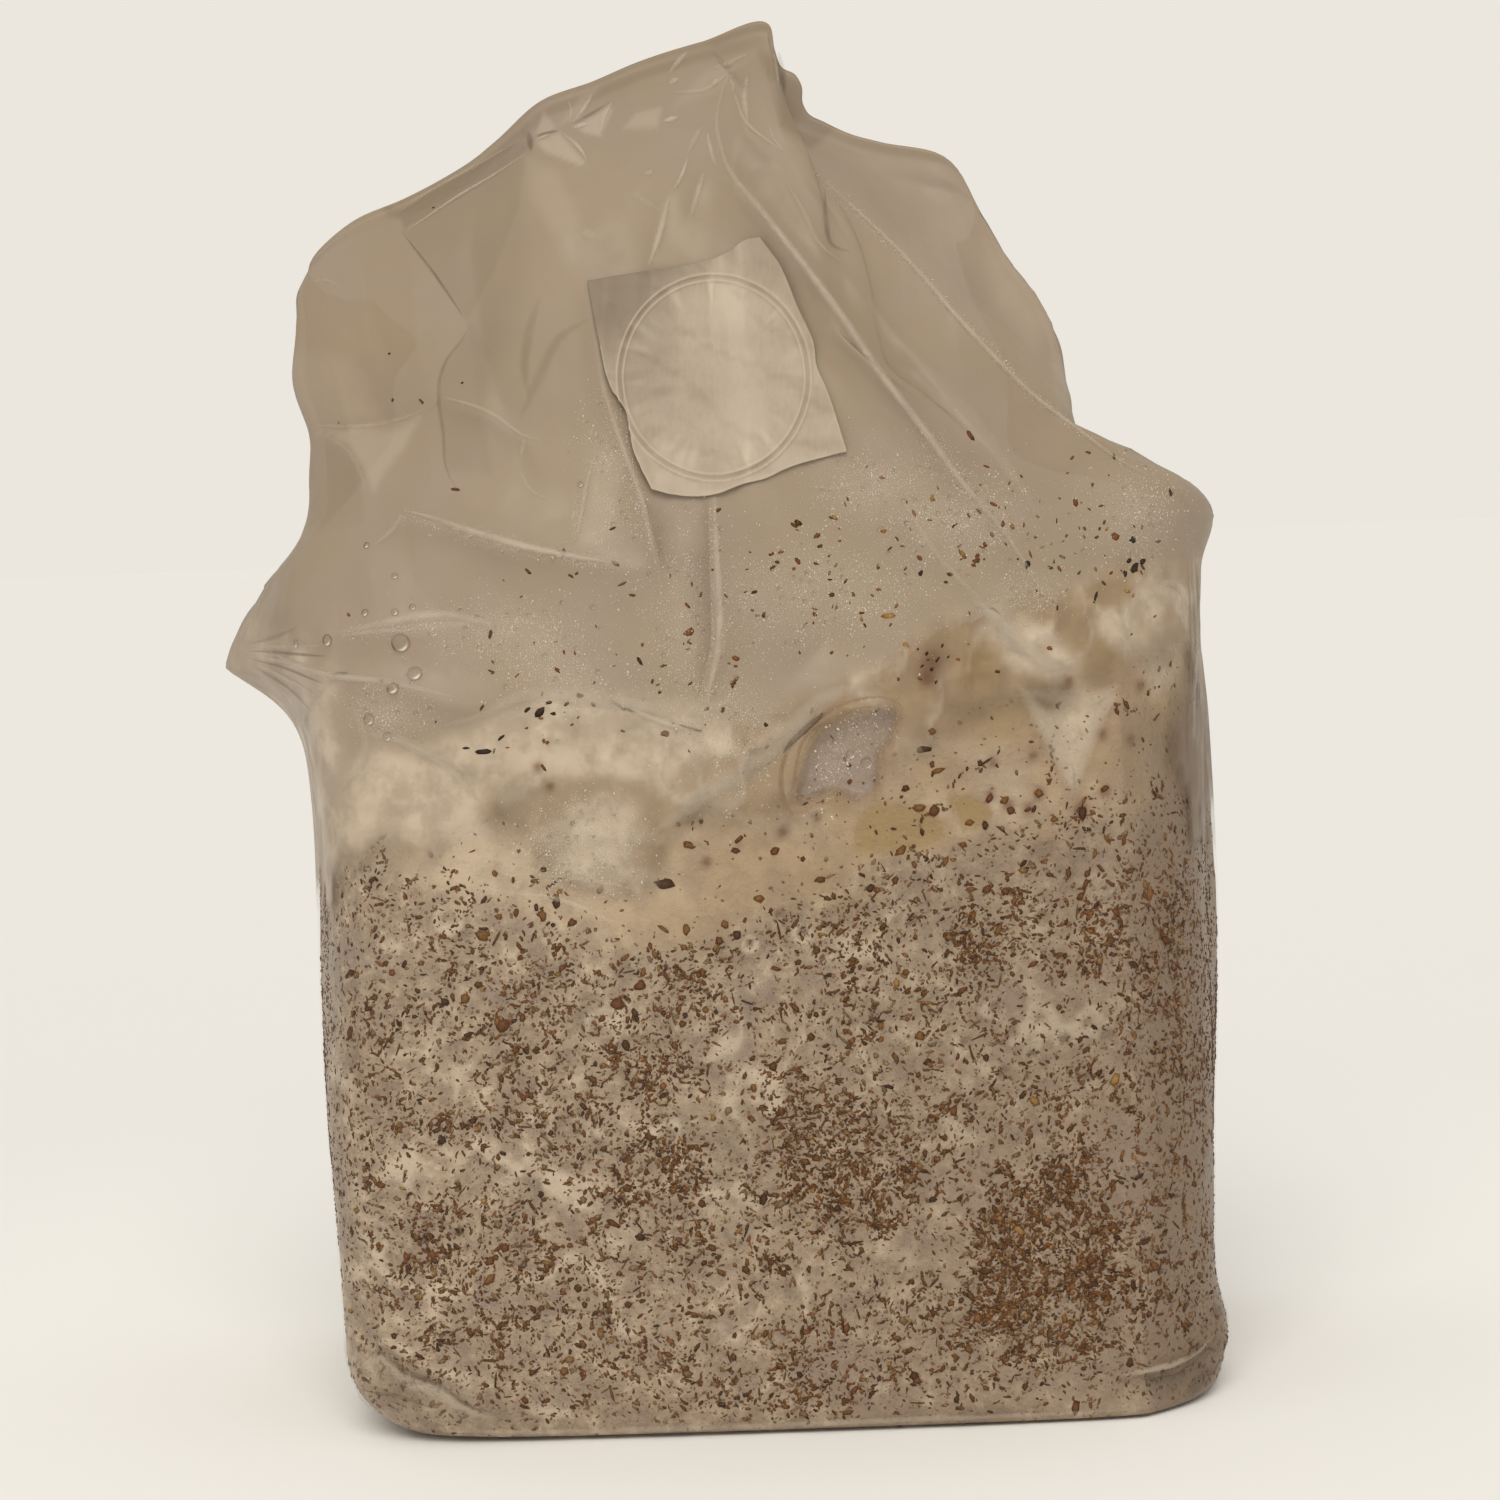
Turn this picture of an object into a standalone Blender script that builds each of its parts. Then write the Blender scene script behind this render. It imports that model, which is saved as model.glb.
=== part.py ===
"""An oyster mushroom grow bag: a sawdust block bound by white mycelium, in a sealed
film bag with side folds and a filter patch. Lengths are in millimetres, and MM makes
them metres where a mesh is made. X runs to the right, Y to the back and Z up. The
origin is the middle of the base."""

import math

import bpy
import numpy as np
from mathutils import Vector
from mathutils.bvhtree import BVHTree

MM = 0.001

# The bag. A level runs from 0 at the base to 1 at the hem. Up to the top of the
# block it is the height in millimetres divided by LEVEL_HEIGHT.
WALL = 0.6
GAP = 0.35
HALF_DEPTH = 62.5
HALF_WIDTH = 102.0
LEVEL_HEIGHT = 300.0
BLOCK_LEVEL = 0.5
PANEL_BOW = 1.5
BASE_ROUND_LEFT = 15.0
BASE_ROUND_RIGHT = 6.0
BASE_ROUND_DEEP = 0.4

# The folded corner that sticks out low at the right
CORNER_EAR, CORNER_EAR_Z, CORNER_EAR_HIGH = 3.2, 13.0, 9.0
CORNER_ACROSS, CORNER_DEEP = (0.80, 0.98), (0.15, 0.75)

# Level, x and z down the two outer edges that the front view shows
LEFT_EDGE = [
    (0.00, -102.0, 0.0), (0.25, -102.2, 75.0), (0.36, -100.6, 108.0),
    (0.50, -101.0, 150.0), (0.58, -104.5, 172.0), (0.65, -107.5, 192.0),
    (0.71, -107.5, 212.0), (0.775, -111.0, 230.0), (0.81, -114.5, 239.0),
    (0.86, -115.0, 247.0), (0.90, -114.0, 253.0), (1.00, -108.0, 264.0),
]
RIGHT_EDGE = [
    (0.00, 102.0, 0.0), (0.25, 102.5, 75.0), (0.50, 101.5, 150.0),
    (0.58, 103.5, 171.0), (0.65, 105.5, 192.0), (0.70, 110.0, 206.5),
    (0.74, 101.0, 215.0), (0.79, 83.5, 226.5), (0.82, 81.5, 232.0),
    (0.86, 79.5, 242.0), (0.90, 75.0, 251.5), (0.95, 69.5, 261.0), (1.00, 62.0, 271.0),
]
# x and z along the welded top edge, from left to right: it peaks where it is bent
HEM = [
    (-108.0, 264.0), (-96.0, 277.5), (-79.5, 286.3), (-62.7, 295.0), (-57.3, 299.6),
    (-45.0, 308.4), (-22.7, 316.8), (-6.8, 321.0), (9.7, 323.8), (11.5, 316.0),
    (16.2, 310.5), (16.8, 305.5), (21.6, 301.0), (33.8, 295.8), (50.3, 290.3),
    (57.4, 280.6), (62.0, 271.0),
]
HEM_SWAY, HEM_SWAY_START, HEM_SWAY_WAVES, HEM_FORWARD = 7.0, 0.12, 1.7, 4.0
# Level, half the bag's depth, and how square its section is
SECTIONS = [
    (0.00, 62.5, 9.0), (0.50, 62.5, 8.0), (0.58, 61.0, 6.0), (0.65, 57.5, 4.6),
    (0.72, 51.0, 3.8), (0.80, 41.0, 3.4), (0.88, 28.0, 3.0), (0.95, 12.0, 2.8),
    (0.985, 1.6, 2.6), (1.00, 0.9, 2.6),
]
# The left side of the head is flatter than the rest
WING_THINNER, WING_LEVELS, WING_SHARE = 0.45, (0.66, 0.78), 0.34
# Level, and how far the side fold is tucked in at the left and at the right
TUCKS = [
    (0.00, 0.0, 0.0), (0.62, 0.0, 0.0), (0.68, 4.0, 4.0), (0.74, 14.0, 12.0),
    (0.80, 22.0, 17.0), (0.85, 26.0, 17.0), (0.90, 24.0, 13.0), (0.95, 12.0, 6.0),
    (0.985, 0.0, 0.0), (1.00, 0.0, 0.0),
]
SIDE_POWER, TUCK_OPENING = 6, 0.85
# The ear that the side fold makes at the left: level, reach, and spread in levels
# below and above, with the shape of its flanks and how deep it is
EAR_LEVEL, EAR_REACH, EAR_BELOW, EAR_ABOVE = 0.598, 18.5, 0.036, 0.075
EAR_FLANK, EAR_DEPTH = 1.3, 0.45

# Folds of the film: x and z of each line on the panel, height and width
FRONT_FOLDS = [
    ([(0, 296), (-1, 287), (5, 279), (23, 254), (40, 228), (59, 202), (68, 185)], 6.0, 5.0),
    ([(11, 284), (28, 259), (48, 233), (63, 213)], 3.6, 4.0),
    ([(-86, 208), (-78, 213), (-57, 206), (-26, 199)], 6.0, 5.0),
    ([(-35, 262), (-32, 240), (-24, 214), (-21, 203)], 4.0, 4.5),
    ([(-8, 216), (-8, 197), (-7, 183), (-13, 161)], 5.0, 5.0),
    ([(-119, 182), (-92, 177), (-77, 174), (-55, 170)], 4.0, 5.0),
    ([(-60, 292), (-62, 270), (-58, 245), (-50, 222)], -7.0, 13.0),
    ([(-95, 246), (-92, 232), (-88, 216)], 4.0, 9.0),
    ([(20, 196), (16, 182), (6, 172)], -3.0, 9.0),
]
BACK_FOLDS = [
    ([(20, 296), (12, 268), (-8, 240), (-34, 210), (-60, 188)], 6.5, 7.0),
    ([(34, 284), (38, 256), (28, 226), (30, 190)], 4.5, 6.0),
    ([(-88, 262), (-60, 246), (-44, 222)], 5.5, 7.0),
    ([(88, 205), (62, 202), (40, 192), (14, 176)], 5.5, 6.5),
    ([(-20, 280), (-30, 255), (-58, 222), (-84, 200)], -6.0, 11.0),
]
FOLD_TIP, FOLD_END_SHARE = 0.6, 0.3
# Where the folds start, above the block in front and by level behind, and end
FOLD_START_FRONT, FOLD_START_BACK, FOLD_END = (-3.0, 12.0), (0.53, 0.60), (0.90, 0.97)
PANEL_EDGE = 2.2
# The front panel's right edge, past which the film falls back to the side fold
RIGHT_RIDGE = [(5, 306), (19, 287), (39, 267), (51, 251), (67, 234), (79, 224)]
RIDGE_FALL, RIDGE_WIDTH = 0.66, 9.0
RIDGE_START, RIDGE_END = (0.73, 0.80), (0.93, 0.985)

# The filter patch: corners seen from the front, and the weld ring in it
PATCH_CORNERS = [(-22.0, 215.0), (22.5, 222.0), (7.0, 272.0), (-35.0, 263.5)]
PATCH_THICK, PATCH_GAP, PATCH_SPOKES, PATCH_FEEL = 0.5, 0.5, 40, 2.0
PATCH_INNER_RINGS = [0.3, 0.6]
RING_SHARE, RING_WIDTH, RING_RISE = 0.93, 0.045, 0.45
FILTER_HOLE_RADIUS, FILTER_HOLE_SIDES = 15.0, 20
FILTER_HOLE_FRONT, FILTER_HOLE_BACK = 9.0, 11.0

# x and z of the line up to which the block touches the film in front
CONTACT = [
    (-125, 152), (-88, 157), (-77, 155), (-63, 163), (-45, 168), (-27, 168), (0, 160),
    (16, 167), (37, 177), (46, 183), (69, 185), (84, 191), (99, 193), (125, 190),
]
# The block's top falls from there to its height at the back, between these depths
BACK_HEIGHT, TOP_FALL = 150.0, (-52.0, 5.0)
SHOULDER_FRONT, SHOULDER_BACK = 8.0, 17.0
# Lumps of the block's top: x, y, height and spread
TOP_LUMPS = [(94, 18, 24, 32), (-42, 30, 13, 30), (8, 12, 8, 26), (-92, 10, -6, 16)]
# The hollow in the block's front that the film bridges, and the one that is cut in
RECESS_X, RECESS_HALF, RECESS_DEEP, RECESS_RISE = -28.0, 27.0, 8.0, (134.0, 156.0)
POCKET = [(10, 157), (20, 166), (31, 166), (28, 156), (26, 147), (19, 146), (8, 144)]
POCKET_DEPTH, POCKET_TAPER, POCKET_FRONT = 7.0, 0.78, 4.0

RING_FRONT, RING_SIDE = 24, 8
SHARED_ROWS, RIM_ROWS, BEND_ROWS = 7, 4, 3
TOP_SHARES = [0.76, 0.5, 0.25, 0.06]
RIM_SLACK = 1.6
FILM_ROUND = [0.0, 0.14, 0.5, 1.0]
FILM_LEVELS = [
    0.10, 0.22, 0.34, 0.44, 0.50, 0.545, 0.575, 0.598, 0.63, 0.67, 0.70, 0.73, 0.76,
    0.79, 0.82, 0.85, 0.88, 0.91, 0.94, 0.965, 0.985, 1.0,
]
CAVITY_ROWS_LEFT_OUT, CAVITY_END_SHARE = 2, 0.96
SHARP_ANGLE = 40.0

FILM_COLOUR = (0.42, 0.35, 0.27, 1.0)
BLOCK_COLOUR = (0.47, 0.40, 0.32, 1.0)
PATCH_COLOUR = (0.62, 0.56, 0.48, 1.0)


def clear_scene():
    for thing in list(bpy.data.objects):
        bpy.data.objects.remove(thing, do_unlink=True)


def material(name, colour, roughness):
    made = bpy.data.materials.new(name)
    made.use_nodes = True
    shader = made.node_tree.nodes["Principled BSDF"]
    shader.inputs["Base Color"].default_value = colour
    shader.inputs["Roughness"].default_value = roughness
    return made


def smooth(low, high, at):
    """0 below low, 1 above high, and an S-curve between."""
    share = np.clip((at - low) / (high - low), 0.0, 1.0)
    return share * share * (3.0 - 2.0 * share)


def through(table, column, at):
    """A smooth curve through a table's rows, read at its first column."""
    rows = np.array(table, float)
    places, values = rows[:, 0], rows[:, column]
    slopes = np.gradient(values, places)
    i = np.clip(np.searchsorted(places, at, "right") - 1, 0, len(places) - 2)
    span = places[i + 1] - places[i]
    t = np.clip((at - places[i]) / span, 0.0, 1.0)
    return (
        values[i] * (1 + 2 * t) * (1 - t) ** 2
        + values[i + 1] * t * t * (3 - 2 * t)
        + slopes[i] * span * t * (1 - t) ** 2
        - slopes[i + 1] * span * t * t * (1 - t)
    )


def hem_table():
    """The hem's points, each with its share of the hem's length."""
    points = np.array(HEM, float)
    steps = np.hypot(*np.diff(points, axis=0).T)
    share = np.concatenate([[0.0], np.cumsum(steps)]) / steps.sum()
    return np.column_stack([share, points])


def nearest_on_line(x, z, line):
    """How far each point is from a line, which side it is on, and how far along."""
    best = np.full(np.shape(x), 1e9)
    side, along = np.zeros(np.shape(x)), np.zeros(np.shape(x))
    for number, ((ax, az), (bx, bz)) in enumerate(zip(line, line[1:])):
        dx, dz = bx - ax, bz - az
        t = np.clip(((x - ax) * dx + (z - az) * dz) / (dx * dx + dz * dz), 0.0, 1.0)
        far = np.hypot(x - ax - t * dx, z - az - t * dz)
        nearer = far < best
        best = np.where(nearer, far, best)
        side = np.where(nearer, np.sign(dx * (z - az) - dz * (x - ax)), side)
        along = np.where(nearer, (number + t) / (len(line) - 1), along)
    return best, side, along


def folds(x, z, lines):
    """The height of all the folds of one panel: each is a ridge with a slightly
    rounded tip that falls off from its line and fades towards its two ends."""
    total = np.zeros(np.shape(x))
    for line, height, width in lines:
        far, _, along = nearest_on_line(x, z, line)
        ends = FOLD_END_SHARE + (1.0 - FOLD_END_SHARE) * np.sin(math.pi * along)
        rounded = np.hypot(far, FOLD_TIP) - FOLD_TIP
        total += height * ends * np.exp(-rounded / width)
    return total


def ring_of_corners():
    """Points round a square of side 2, from the front left corner along the front."""
    front = np.linspace(-1.0, 1.0, RING_FRONT + 1)[:-1]
    side = np.linspace(-1.0, 1.0, RING_SIDE + 1)[:-1]
    along_side = np.ones(RING_SIDE)
    along_front = np.ones(RING_FRONT)
    across = np.concatenate([front, along_side, -front, -along_side])
    deep = np.concatenate([-along_front, side, along_front, -side])
    return across, deep


def contact_height(x):
    """How high the block touches the film in front."""
    return np.interp(x, *np.array(CONTACT, float).T)


def side_shift(c, e, level):
    """How far the left and the right side are moved in by the folds tucked into them,
    less the ear at the left."""
    beside = np.abs(c) ** SIDE_POWER
    tuck = beside * np.clip(1.0 - np.abs(e) / TUCK_OPENING, 0.0, 1.0)
    spread = np.where(level < EAR_LEVEL, EAR_BELOW, EAR_ABOVE)
    ear = EAR_REACH * np.exp(-((np.abs(level - EAR_LEVEL) / spread) ** EAR_FLANK))
    ear = ear * beside * np.exp(-((e / EAR_DEPTH) ** 2))
    left = (through(TUCKS, 1, level) * tuck - ear) * (c < 0)
    right = through(TUCKS, 2, level) * tuck * (c > 0)
    return left, right


def base_rounding(share):
    return BASE_ROUND_LEFT + share * (BASE_ROUND_RIGHT - BASE_ROUND_LEFT)


def folded_depth(x, y, z, e, level):
    """y with the folds of the front and the back, and with the front's right edge
    falling back."""
    front = np.clip(-PANEL_EDGE * e, 0.0, 1.0)
    back = np.clip(PANEL_EDGE * e, 0.0, 1.0)
    held = 1.0 - smooth(*FOLD_END, level)
    front = front * smooth(*FOLD_START_FRONT, z - contact_height(x)) * held
    back = back * smooth(*FOLD_START_BACK, level) * held
    far, side, _ = nearest_on_line(x, z, RIGHT_RIDGE)
    fall = np.where(side > 0, 1.0 - np.exp(-((far / RIDGE_WIDTH) ** 2)), 0.0)
    fall = fall * smooth(*RIDGE_START, level) * (1.0 - smooth(*RIDGE_END, level))
    y = np.where(e < 0, y * (1.0 - RIDGE_FALL * fall), y)
    return y - front * folds(x, z, FRONT_FOLDS) + back * folds(x, z, BACK_FOLDS)


def bag_points(across, deep, level, inset=0.0, folded=True):
    """Points of the bag. A square ring is rounded to a superellipse; its width lies
    between the two edges, raised towards the hem, and its depth tapers to the weld."""
    power = through(SECTIONS, 2, level)
    reach = (np.abs(across) ** power + np.abs(deep) ** power) ** (-1.0 / power)
    c, e = across * reach, deep * reach
    share = (c + 1.0) / 2.0
    left, right = side_shift(c, e, level)
    left_x = through(LEFT_EDGE, 1, level) + left + inset
    right_x = through(RIGHT_EDGE, 1, level) - right - inset
    left_z, right_z = through(LEFT_EDGE, 2, level), through(RIGHT_EDGE, 2, level)
    hem = hem_table()
    rise = smooth(BLOCK_LEVEL, 1.0, level)
    hem_x = through(hem, 1, share) - (HEM[0][0] + share * (HEM[-1][0] - HEM[0][0]))
    hem_z = through(hem, 2, share) - (HEM[0][1] + share * (HEM[-1][1] - HEM[0][1]))
    x = left_x + share * (right_x - left_x) + rise * hem_x
    z = left_z + share * (right_z - left_z) + rise * hem_z
    wing = WING_THINNER * smooth(*WING_LEVELS, level) * (1.0 - smooth(0.0, WING_SHARE, share))
    half = through(SECTIONS, 1, level) * (1.0 - wing) - inset
    rounding = base_rounding(share)
    below = np.clip(rounding - z, 0.0, rounding)
    under = rounding - np.sqrt(np.maximum(rounding**2 - below**2, 0.0))
    x = x * (1.0 - under / HALF_WIDTH) + PANEL_BOW * (1.0 - e * e) * c
    y = e * (half - BASE_ROUND_DEEP * under) + PANEL_BOW * (1.0 - c * c) * e
    corner = smooth(*CORNER_ACROSS, c) * smooth(*CORNER_DEEP, -e)
    x = x + CORNER_EAR * corner * np.exp(-(((z - CORNER_EAR_Z) / CORNER_EAR_HIGH) ** 2))
    if folded:
        y = folded_depth(x, y, z, e, level)
    sway = HEM_SWAY * np.sin(math.pi * (share - HEM_SWAY_START) * HEM_SWAY_WAVES)
    y = y + rise**2 * (sway - HEM_FORWARD)
    return np.stack(np.broadcast_arrays(x, y, z), axis=-1)


def film_levels(across):
    """The level of each point, row by row: the first rows follow the rounded base."""
    rounding = base_rounding((across + 1.0) / 2.0)
    low = [rounding * part / LEVEL_HEIGHT for part in FILM_ROUND]
    high = [np.full(len(across), level) for level in FILM_LEVELS]
    return np.array(low + high)


def normals_of(grid):
    round_way = np.roll(grid, -1, axis=1) - np.roll(grid, 1, axis=1)
    up_way = np.gradient(grid, axis=0)
    cross = np.cross(round_way, up_way)
    return cross / np.linalg.norm(cross, axis=-1, keepdims=True)


def tube_faces(rows, columns):
    """Quads between rows of a closed ring, and the rows' two caps, each made of
    strips from the front of the ring to the back."""
    faces = []
    for row in range(rows - 1):
        for i in range(columns):
            j = (i + 1) % columns
            a, b = row * columns, (row + 1) * columns
            faces.append((a + i, a + j, b + j, b + i))
    last = (rows - 1) * columns
    half_side = RING_SIDE // 2
    start = columns - half_side
    for k in range(columns // 2):
        front, front_next = (start + k) % columns, (start + k + 1) % columns
        back, back_next = (start - k) % columns, (start - k - 1) % columns
        top = [front, front_next, back_next, back]
        corners = list(dict.fromkeys(top))
        if len(corners) > 2:
            faces.append(tuple(last + c for c in corners))
            faces.append(tuple(reversed(corners)))
    return faces


def solid(name, points, faces, look=None):
    mesh = bpy.data.meshes.new(name)
    mesh.from_pydata([tuple(p) for p in np.asarray(points) * MM], [], faces)
    mesh.update()
    made = bpy.data.objects.new(name, mesh)
    bpy.context.scene.collection.objects.link(made)
    if look:
        mesh.materials.append(look)
    return made


def cutter(name, points, faces):
    made = solid(name, points, faces)
    made.hide_render = True
    made.display_type = "WIRE"
    return made


def cut(target, tool):
    change = target.modifiers.new("cut_" + tool.name, "BOOLEAN")
    change.operation = "DIFFERENCE"
    change.solver = "EXACT"
    change.object = tool


def make_bag():
    """The film: its outer skin, less the space inside it, less the filter's hole."""
    across, deep = ring_of_corners()
    levels = film_levels(across)
    outer = bag_points(across, deep, levels)
    rows, columns = levels.shape
    inner = outer - WALL * normals_of(outer)
    inner[0, :, 2] = WALL
    inner = inner[: rows - CAVITY_ROWS_LEFT_OUT]
    middle = inner[-1].mean(axis=0)
    inner[-1] = middle + (inner[-1] - middle) * CAVITY_END_SHARE
    flat_outer, flat_inner = outer.reshape(-1, 3), inner.reshape(-1, 3)
    bag = solid("film_bag", flat_outer, tube_faces(rows, columns),
                material("film", FILM_COLOUR, 0.25))
    cavity = cutter("bag_cavity", flat_inner, tube_faces(len(inner), columns))
    cut(bag, cavity)
    skin = BVHTree.FromPolygons([Vector(p) for p in flat_outer],
                                tube_faces(rows, columns))
    cut(bag, filter_hole(skin))
    return skin


def front_of(skin, x, z):
    """How far back the bag's front is at x and z."""
    start = Vector((x, -2.0 * HALF_DEPTH, z))
    place, _, _, _ = skin.ray_cast(start, Vector((0, 1, 0)))
    return place.y


def patch_middle():
    return np.mean(PATCH_CORNERS, axis=0)


def filter_hole(skin):
    """A short round bar across the film behind the middle of the patch."""
    x, z = patch_middle()
    film = front_of(skin, x, z)
    count = FILTER_HOLE_SIDES
    angles = np.arange(count) * 2 * math.pi / count
    points = []
    for y in (film - FILTER_HOLE_FRONT, film + FILTER_HOLE_BACK):
        points += [(x + FILTER_HOLE_RADIUS * math.cos(a), y,
                    z + FILTER_HOLE_RADIUS * math.sin(a)) for a in angles]
    faces = [(i, count + i, count + (i + 1) % count, (i + 1) % count) for i in range(count)]
    faces += [tuple(range(count)), tuple(reversed(range(count, 2 * count)))]
    return cutter("filter_hole", points, faces)


def patch_place(u, v):
    """x and z of a point of the patch, where u and v run from -1 to 1."""
    a, b, c, d = (np.array(p) for p in PATCH_CORNERS)
    s, t = (u + 1.0) / 2.0, (v + 1.0) / 2.0
    return (a * (1 - s) + b * s) * (1 - t) + (d * (1 - s) + c * s) * t


def make_patch(skin, look):
    """A square of filter sheet on the film, with the raised weld ring in it. Rings of
    points run from its middle out to its edge, on its face and then on its back."""
    spokes = PATCH_SPOKES
    flat = PATCH_INNER_RINGS + [RING_SHARE - 2 * RING_WIDTH]
    raised = [RING_SHARE - RING_WIDTH / 2, RING_SHARE + RING_WIDTH / 2]
    spreads = [(share, 0.0, False) for share in flat]
    spreads += [(share, RING_RISE, False) for share in raised]
    spreads.append((1.0, 0.0, True))

    def layer(lift, faced):
        made = [(0.0, 0.0, lift)]
        for share, rise, square in spreads:
            for k in range(spokes):
                angle = 2 * math.pi * (k + 0.5) / spokes
                u, v = math.cos(angle), math.sin(angle)
                longest = max(abs(u), abs(v)) if square else 1.0
                made.append((share * u / longest, share * v / longest,
                             lift + (rise if faced else 0.0)))
        return made

    points = []
    for u, v, lift in layer(PATCH_GAP + PATCH_THICK, True) + layer(PATCH_GAP, False):
        x, z = patch_place(u, v)
        steps = (-PATCH_FEEL, 0.0, PATCH_FEEL)
        nearby = [front_of(skin, x + dx, z + dz) for dx in steps for dz in steps]
        points.append((x, min(nearby) - lift, z))
    count = 1 + spokes * len(spreads)
    faces = []
    for k in range(spokes):
        n = (k + 1) % spokes
        for base, flip in ((0, False), (count, True)):
            rows = [(base, base + 1 + k, base + 1 + n)]
            for r in range(len(spreads) - 1):
                a, b = base + 1 + r * spokes, base + 1 + (r + 1) * spokes
                rows.append((a + k, b + k, b + n, a + n))
            faces += [tuple(reversed(f)) if flip else f for f in rows]
        rim = 1 + (len(spreads) - 1) * spokes
        faces.append((rim + k, count + rim + k, count + rim + n, rim + n))
    return solid("filter_patch", points, faces, look)


def front_share(y):
    """1 at the block's front and 0 from past its middle to the back."""
    return 1.0 - smooth(*TOP_FALL, y)


def block_top(x, y):
    """The height of the block's top: the line of contact in front, falling back to a
    flat top, with lumps."""
    total = BACK_HEIGHT + (contact_height(x) - BACK_HEIGHT) * front_share(y)
    for at_x, at_y, height, spread in TOP_LUMPS:
        far = (x - at_x) ** 2 + (y - at_y) ** 2
        total = total + height * np.exp(-far / (spread * spread))
    return total


def shoulder(y):
    """How far the rounded shoulder reaches down from the top."""
    return SHOULDER_BACK + (SHOULDER_FRONT - SHOULDER_BACK) * front_share(y)


def recessed(row, facing):
    """A row of the block with the hollow in its front, whose depth is a bell curve
    across and grows with the height."""
    row = row.copy()
    bell = np.exp(-(((row[:, 0] - RECESS_X) / RECESS_HALF) ** 2))
    row[:, 1] += RECESS_DEEP * bell * smooth(*RECESS_RISE, row[:, 2]) * facing
    return row


def make_block(look):
    """The block fills the bag's lower part: rows up its sides, then a rounded
    shoulder, then rings that close over its lumpy top, all inside the film by the gap."""
    across, deep = ring_of_corners()
    inset = WALL + GAP
    facing = np.clip(-PANEL_EDGE * deep, 0.0, 1.0)
    rim = bag_points(across, deep, np.full(len(across), BLOCK_LEVEL), inset, False)
    rim_z = block_top(rim[:, 0], rim[:, 1]) - shoulder(rim[:, 1])
    outer = bag_points(across, deep, film_levels(across))
    rows = list((outer - inset * normals_of(outer))[:SHARED_ROWS])
    rows[0][:, 2] = inset
    low = rows[-1][:, 2]
    for k in range(1, RIM_ROWS + 1):
        height = low + (rim_z - low) * k / RIM_ROWS
        slack = inset + RIM_SLACK * k / RIM_ROWS
        row = bag_points(across, deep, height / LEVEL_HEIGHT, slack, False)
        row[:, 2] = height
        rows.append(recessed(row, facing))
    edge = rows[-1]
    radius = block_top(edge[:, 0], edge[:, 1]) - edge[:, 2]
    for k in range(1, BEND_ROWS + 1):
        turn = 0.5 * math.pi * k / BEND_ROWS
        inward = radius * (1.0 - math.cos(turn))
        row = np.stack([edge[:, 0] * (1.0 - inward / HALF_WIDTH),
                        edge[:, 1] * (1.0 - inward / HALF_DEPTH),
                        edge[:, 2] + radius * math.sin(turn)], axis=-1)
        rows.append(row)
    for share in TOP_SHARES:
        x, y = row[:, 0] * share, row[:, 1] * share
        rows.append(np.stack([x, y, block_top(x, y)], axis=-1))
    block = solid("mycelium_block", np.array(rows).reshape(-1, 3),
                  tube_faces(len(rows), len(across)), look)
    cut(block, pocket_cutter())
    return block


def pocket_cutter():
    """A shallow plug in the front of the block, narrower at its inner end."""
    outline = np.array(POCKET, float)
    middle = outline.mean(axis=0)
    points = []
    ends = ((-HALF_DEPTH - POCKET_FRONT, 1.0), (-HALF_DEPTH + POCKET_DEPTH, POCKET_TAPER))
    for y, share in ends:
        points += [(x, y, z) for x, z in middle + (outline - middle) * share]
    count = len(outline)
    faces = [(i, (i + 1) % count, count + (i + 1) % count, count + i)
             for i in range(count)]
    faces += [tuple(reversed(range(count))), tuple(range(count, 2 * count))]
    return cutter("pocket", points, faces)


def main():
    clear_scene()
    skin = make_bag()
    make_block(material("mycelium", BLOCK_COLOUR, 0.7))
    make_patch(skin, material("filter_sheet", PATCH_COLOUR, 0.6))
    for thing in bpy.data.objects:
        if not thing.hide_render:
            thing.data.shade_smooth()
            thing.data.set_sharp_from_angle(angle=math.radians(SHARP_ANGLE))


main()
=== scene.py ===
import math

import bpy
import numpy as np
from mathutils import Matrix, Vector


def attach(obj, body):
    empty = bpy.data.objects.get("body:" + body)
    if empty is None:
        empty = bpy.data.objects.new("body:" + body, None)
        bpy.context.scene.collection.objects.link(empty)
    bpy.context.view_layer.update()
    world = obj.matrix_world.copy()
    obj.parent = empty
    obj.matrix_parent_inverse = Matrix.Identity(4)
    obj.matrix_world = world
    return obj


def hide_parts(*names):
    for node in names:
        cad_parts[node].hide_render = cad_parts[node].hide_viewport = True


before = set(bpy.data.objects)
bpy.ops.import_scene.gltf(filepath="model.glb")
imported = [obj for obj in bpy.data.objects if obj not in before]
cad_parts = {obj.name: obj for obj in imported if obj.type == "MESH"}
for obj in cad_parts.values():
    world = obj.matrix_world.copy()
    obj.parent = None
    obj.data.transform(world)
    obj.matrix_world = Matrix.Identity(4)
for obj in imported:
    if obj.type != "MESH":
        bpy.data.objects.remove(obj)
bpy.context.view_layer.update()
mm = 0.001

# Places below are in millimetres: x to the right, y to the back, z up from the base.
# A level runs up the bag from 0 at the base to 1 at the welded edge.

print("shape rules")


def ease(low, high, at):
    # 0 below low and 1 above high, with an S-shaped curve between
    share = np.clip((at - low) / (high - low), 0, 1)
    return share * share * (3 - 2 * share)


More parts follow.
